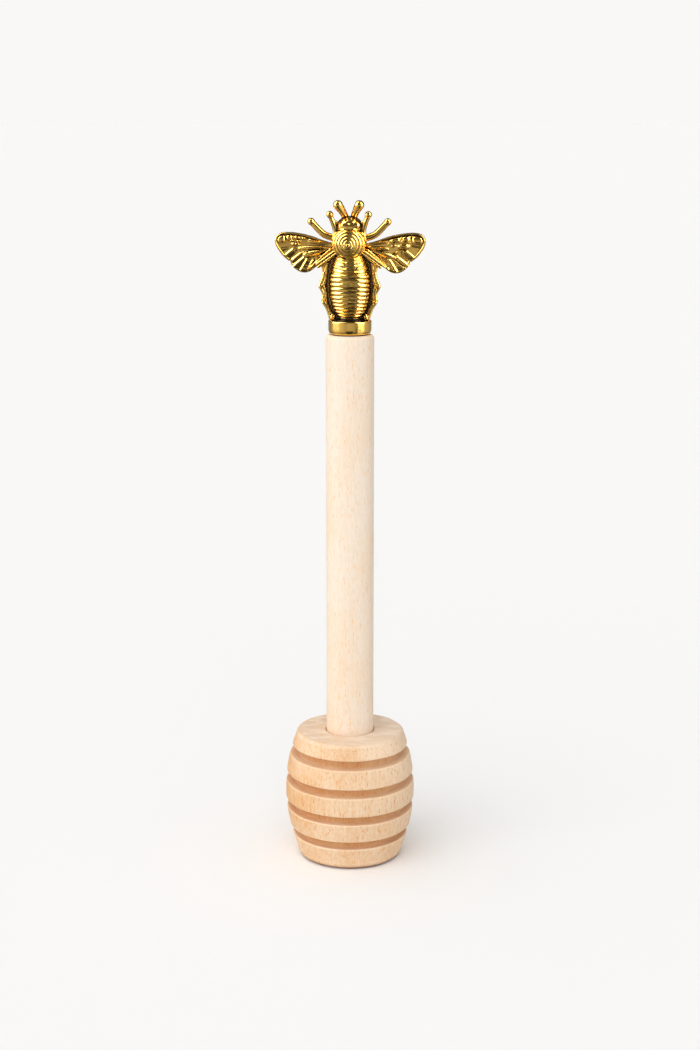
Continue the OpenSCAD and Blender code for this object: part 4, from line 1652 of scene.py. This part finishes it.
    def _height(self, p: Array, inside: Array) -> Array:
        """Shapes the plate's front: a crown, lines, cells, a thick root and a bead round the edge.

        Args:
            p: Points on the plate.
            inside: How far inside the outline each one is.

        Returns:
            The front's height over the plate's middle plane at each point.
        """
        u, v = p[:, 0], p[:, 1]
        crown = self.crown_h - self.tip_drop * (np.clip(u, 0.0, None) / self.wing_l) ** 2
        crown -= self.bow * (v + 1.5) ** 2 * smooth_step(0, 4, u)
        inner = -outline_distance(p, np.array([*self.relief.scallop, *self.inner_corners]))
        height = self.field_h + self.inner_h * smooth_step(-0.1, 0.1, inner)
        height = height - self.scallop_depth * np.exp(-((inner / self.scallop_w) ** 2))
        for line in self.relief.lines:
            height += self._line(p, line)
        for pillow in self.relief.cells:
            height = smooth_max(height, self.field_h + self._pillow(p, pillow), 0.06)
        root = self.root_h * np.clip(1.0 - u / self.root_l, 0.0, 1.4) ** 2 * smooth_step(-1.5, 1.0, u)
        height += crown + root
        w = self.bead_w
        margin = 1.0 - smooth_step(w, w + 0.4, inside)
        outer = smooth_step(0.5, 2.0, u)
        lead = smooth_step(-0.6, 1.4, v)
        height -= (self.margin_depth[0] + self.margin_depth[1] * lead) * margin * outer
        bead = np.sqrt(np.clip(1.0 - ((inside - 0.5 * w) / (0.62 * w)) ** 2, 0.0, 1.0))
        bead = bead * (self.bead_h[0] + self.bead_h[1] * lead)
        return np.maximum(height, (self.field_h + crown - 0.2 + bead) * outer)

    def build(self) -> bpy.types.Object:
        """Builds and dresses the wing."""
        inside, height = self.chart()
        base_z = turned_size("collar")[2]

        def plate(p: Array) -> Array:
            """Gives the distance to the plate."""
            u, v = p[:, 0] - self.root[0], p[:, 2] - self.root[1]
            front = (-p[:, 1] - height.at(u, v)) * 0.8
            edge = -inside.at(u, v)
            return smooth_max(smooth_max(front, p[:, 1] - self.back_y, 0.1), edge, 0.22)

        root = (self.root[0], 0.0, self.root[1])
        low, high = (tuple(r + b for r, b in zip(root, box)) for box in (self.box_low, self.box_high))
        casting = Casting([Form(plate, low, high, 0.0)])
        points, faces, normals = casting.skin(low, high, self.cell)
        marks = {"recess": 1.4 * casting.recess(points, normals), "ink": np.zeros(len(points))}
        if self.side is Side.LEFT:
            points, normals, faces = points * [-1, 1, 1], normals * [-1, 1, 1], faces[:, ::-1]
        name = self.side.name.lower()
        lifted = points + [0.0, 0.0, base_z]
        piece = new_piece(f"wing_{name}_cast", lifted, faces.tolist(), GILT.material(), marks, normals)
        join_to_part(piece, "gilt_metal", f"wing_{name}")
        return piece


# The studio


@dataclass(frozen=True)
class Softbox:
    """A soft light in the studio round the dipper, by its bearings and heights.

    A bearing of 0 is in front of the bee, and 90 is at its viewer's right. The floor share is what is
    left of its level on the floor's card, and a blur is how far an edge fades on each side.
    """

    bearings: Flat
    heights: Flat
    level: float
    floor_share: float = 0.2
    side_blur: Flat = (3.0, 3.0)
    height_blur: Flat = (6.0, 8.0)


@dataclass
class Surround:
    """The softboxes and grey cards round the dipper, which only shiny surfaces show.

    They stand in a wide ring, as pale as the background behind the dipper, with a grey card on the
    floor inside it.
    """

    radius_m: float = 2.0
    half_arc: float = 180.0
    step: float = 4.0
    floor_rings_m: tuple[float, ...] = (0.022, 0.06, 0.15, 0.35, 0.8)
    near_m: Flat = (0.12, 0.5)
    near_shade: float = 0.6
    strip_m: float = 0.6
    strip_shade: float = 0.86
    strip_middle: float = 4.0
    strip_half: float = 19.0
    strip_blur: float = 3.0
    strip_blur_m: float = 0.05
    floor_fade: Flat = (0.5, 4.0)
    card_lift_m: float = 0.0004
    brightest: float = 8.0
    boxes: tuple[Softbox, ...] = (
        Softbox((-98.0, -55.0), (-20.0, 76.0), 7.6, 0.12, (8.0, 3.0), (3.0, 10.0)),
        Softbox((50.0, 88.0), (-20.0, 68.0), 7.6, 0.2, (1.5, 5.0), (3.0, 10.0)),
    )
    # How bright the cards are near the horizon, by bearing
    horizon: tuple[Flat, ...] = (
        (-180, 0.85), (-148, 0.34), (-122, 0.25), (-95, 0.5), (-60, 0.84), (-36, 0.66), (-16, 0.42),
        (-5, 0.54), (8, 0.54), (28, 0.42), (38, 0.24), (46, 0.24), (52, 0.85), (80, 0.9), (101, 0.5),
        (120, 0.45), (139, 0.26), (150, 0.36), (180, 0.85),
    )
    high_shade: float = 0.8
    shade_heights: Flat = (-2.0, 18.0)

    def build(self) -> None:
        """Builds the arc of cards and the card on the floor."""
        bearings = np.radians(np.arange(-self.half_arc, self.half_arc + 1.0, self.step))
        heights = np.radians(np.arange(0.0, 90.0, self.step))
        rows = [(r, self.card_lift_m) for r in self.floor_rings_m]
        rows += [
            (self.radius_m * math.cos(h), self.radius_m * math.sin(h) + self.card_lift_m) for h in heights
        ]
        points = [(r * math.sin(b), -r * math.cos(b), z) for r, z in rows for b in bearings]
        count = len(bearings)
        faces = [
            (i * count + j, i * count + j + 1, (i + 1) * count + j + 1, (i + 1) * count + j)
            for i in range(len(rows) - 1)
            for j in range(count - 1)
        ]
        material = new_material("studio_cards", self._paint)
        cards = new_piece("studio_cards", np.array(points) / MM, faces, material)
        cards.visible_camera = cards.visible_diffuse = cards.visible_shadow = False
        cards.visible_transmission = cards.visible_volume_scatter = False

    def _paint(self, tree: Tree) -> dict[str, Input]:
        """Gives the cards' own light, by bearing and height."""
        place = tree.place((1, 1, 1))
        here = tree.value("ShaderNodeVectorMath", 0, {"operation": "NORMALIZE"}, {0: place})
        far = tree.value("ShaderNodeVectorMath", "Value", {"operation": "LENGTH"}, {0: place}) * MM
        x, y, z = tree.axes(here)
        bearing = tree.math("DEGREES", tree.math("ARCTAN2", x, y * -1.0))
        height = tree.math("DEGREES", tree.math("ARCSINE", z))
        stops = [((b + 180.0) / 360.0, level) for b, level in self.horizon]
        around = tree.value("ShaderNodeValToRGB", 0, {"stops": stops}, {0: (bearing + 180.0) / 360.0})
        level = tree.red(around) * (1.0 - self.high_shade * height.rise(*self.shade_heights))
        for box in self.boxes:
            (left, right), (low, high) = box.bearings, box.heights
            (soft_left, soft_right), (soft_low, soft_high) = box.side_blur, box.height_blur
            across = bearing.rise(left - soft_left, left + soft_left)
            across = across * bearing.rise(right + soft_right, right - soft_right)
            up = height.rise(low - soft_low, low + soft_low) * height.rise(high + soft_high, high - soft_high)
            raised = box.floor_share + (1.0 - box.floor_share) * height.rise(*self.floor_fade)
            level = level.at_least(across * up * raised * box.level)
        off = tree.math("ABSOLUTE", bearing - self.strip_middle)
        strip = off.rise(self.strip_half + self.strip_blur, self.strip_half - self.strip_blur)
        strip = strip * far.rise(self.strip_m + self.strip_blur_m, self.strip_m)
        level = level * (1.0 - self.near_shade * far.rise(self.near_m[1], self.near_m[0]))
        level = level * (1.0 - self.strip_shade * strip)
        share = level / self.brightest
        grey = tree.value("ShaderNodeCombineColor", 0, None, {0: share, 1: share, 2: share})
        return {
            "Base Color": (0.0, 0.0, 0.0),
            "Specular IOR Level": 0.0,
            "Emission Color": grey,
            "Emission Strength": self.brightest,
        }


@dataclass
class Studio:
    """The pale floor and background, the soft light and the camera."""

    pale: Colour = linear(249, 248, 246)
    floor_colour: Colour = (0.95, 0.943, 0.933)
    floor_size_m: float = 60.0
    fill_level: float = 0.745
    fill_front: float = 0.22
    fill_left: float = 0.32
    key_level: float = 1.1
    key_angle: float = 66.0
    key_bearing: float = -20.0
    key_height: float = 46.0
    photo_px: Flat = (700, 1050)
    focal_px: float = 1853.3
    axis_row_px: float = 461.3
    camera_bearing: float = 6.5
    camera_distance: float = 454.3
    camera_height: float = 188.1
    camera_pitch: float = 10.65
    sensor: float = 36.0

    def build(self) -> None:
        """Sets up the floor, the light and the camera."""
        self._floor()
        self._world()
        self._key()
        self._camera()
        Surround().build()
        bpy.context.scene.view_settings.view_transform = "Standard"

    def _floor(self) -> None:
        """Lays the floor."""
        half = self.floor_size_m / MM / 2.0
        corners = [(-half, -half, 0.0), (half, -half, 0.0), (half, half, 0.0), (-half, half, 0.0)]
        paper = new_material("floor_paper", self._paper)
        floor = new_piece("floor", np.array(corners), [(0, 1, 2, 3)], paper)

    def _paper(self, tree: Tree) -> dict[str, Input]:
        """Gives the floor's shader inputs."""
        return {"Base Color": self.floor_colour, "Roughness": 1.0, "Specular IOR Level": 0.0}

    def _world(self) -> None:
        """Gives a fill that leans to the front and the left, and the pale background that is seen."""
        world = bpy.data.worlds.new("studio")
        bpy.context.scene.world = world
        world.use_nodes = True
        tree = Tree(world.node_tree)
        path = tree.node("ShaderNodeLightPath")
        shown = Value(tree, path.outputs["Is Camera Ray"])
        for ray in ("Is Glossy Ray", "Is Transmission Ray"):
            shown = shown.at_least(Value(tree, path.outputs[ray]))
        x, y, _ = tree.axes(tree.value("ShaderNodeTexCoord", "Generated"))
        level = self.fill_level * (1.0 - self.fill_front * y - self.fill_left * x)
        fill = tree.value("ShaderNodeBackground", 0, None, {"Strength": level, "Color": (1.0, 1.0, 1.0)})
        ground = tree.value("ShaderNodeBackground", 0, None, {"Color": self.pale, "Strength": 1.0})
        both = tree.value("ShaderNodeMixShader", 0, None, {0: shown, 1: fill, 2: ground})
        tree.node("ShaderNodeOutputWorld", None, {"Surface": both})

    def _key(self) -> None:
        """Adds the broad light from the front left, whose shape shiny surfaces take from the cards."""
        data = bpy.data.lights.new("key", "SUN")
        data.energy = self.key_level
        data.angle = math.radians(self.key_angle)
        lamp = bpy.data.objects.new("key", data)
        lamp.rotation_euler = (math.radians(90.0 - self.key_height), 0.0, math.radians(self.key_bearing))
        lamp.visible_glossy = False
        bpy.context.scene.collection.objects.link(lamp)

    def _camera(self) -> None:
        """Places the camera as the photograph was taken."""
        data = bpy.data.cameras.new("camera")
        data.sensor_width = self.sensor
        data.lens = self.focal_px * self.sensor / self.photo_px[1]
        data.shift_y = (self.axis_row_px - self.photo_px[1] / 2.0) / self.photo_px[1]
        data.clip_start, data.clip_end = 0.01, 200.0
        camera = bpy.data.objects.new("camera", data)
        a = math.radians(self.camera_bearing)
        reach = self.camera_distance * MM
        camera.location = (reach * math.sin(a), -reach * math.cos(a), self.camera_height * MM)
        camera.rotation_euler = (math.radians(90.0 - self.camera_pitch), 0.0, a)
        bpy.context.scene.collection.objects.link(camera)
        bpy.context.scene.camera = camera


def main() -> None:
    """Builds the dipper, its turned pieces sized from the CAD model, and its studio."""
    logging.basicConfig(level=logging.INFO, format="%(name)s: %(message)s")
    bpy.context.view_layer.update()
    wings = (Wing(Side.LEFT, LEFT_RELIEF), Wing(Side.RIGHT, RIGHT_RELIEF))
    for part in (Head(), Handle(), Stud(), Collar(), Bee(), *wings):
        part.build()
    Studio().build()
    bpy.context.view_layer.update()


if __name__ == "__main__":
    main()
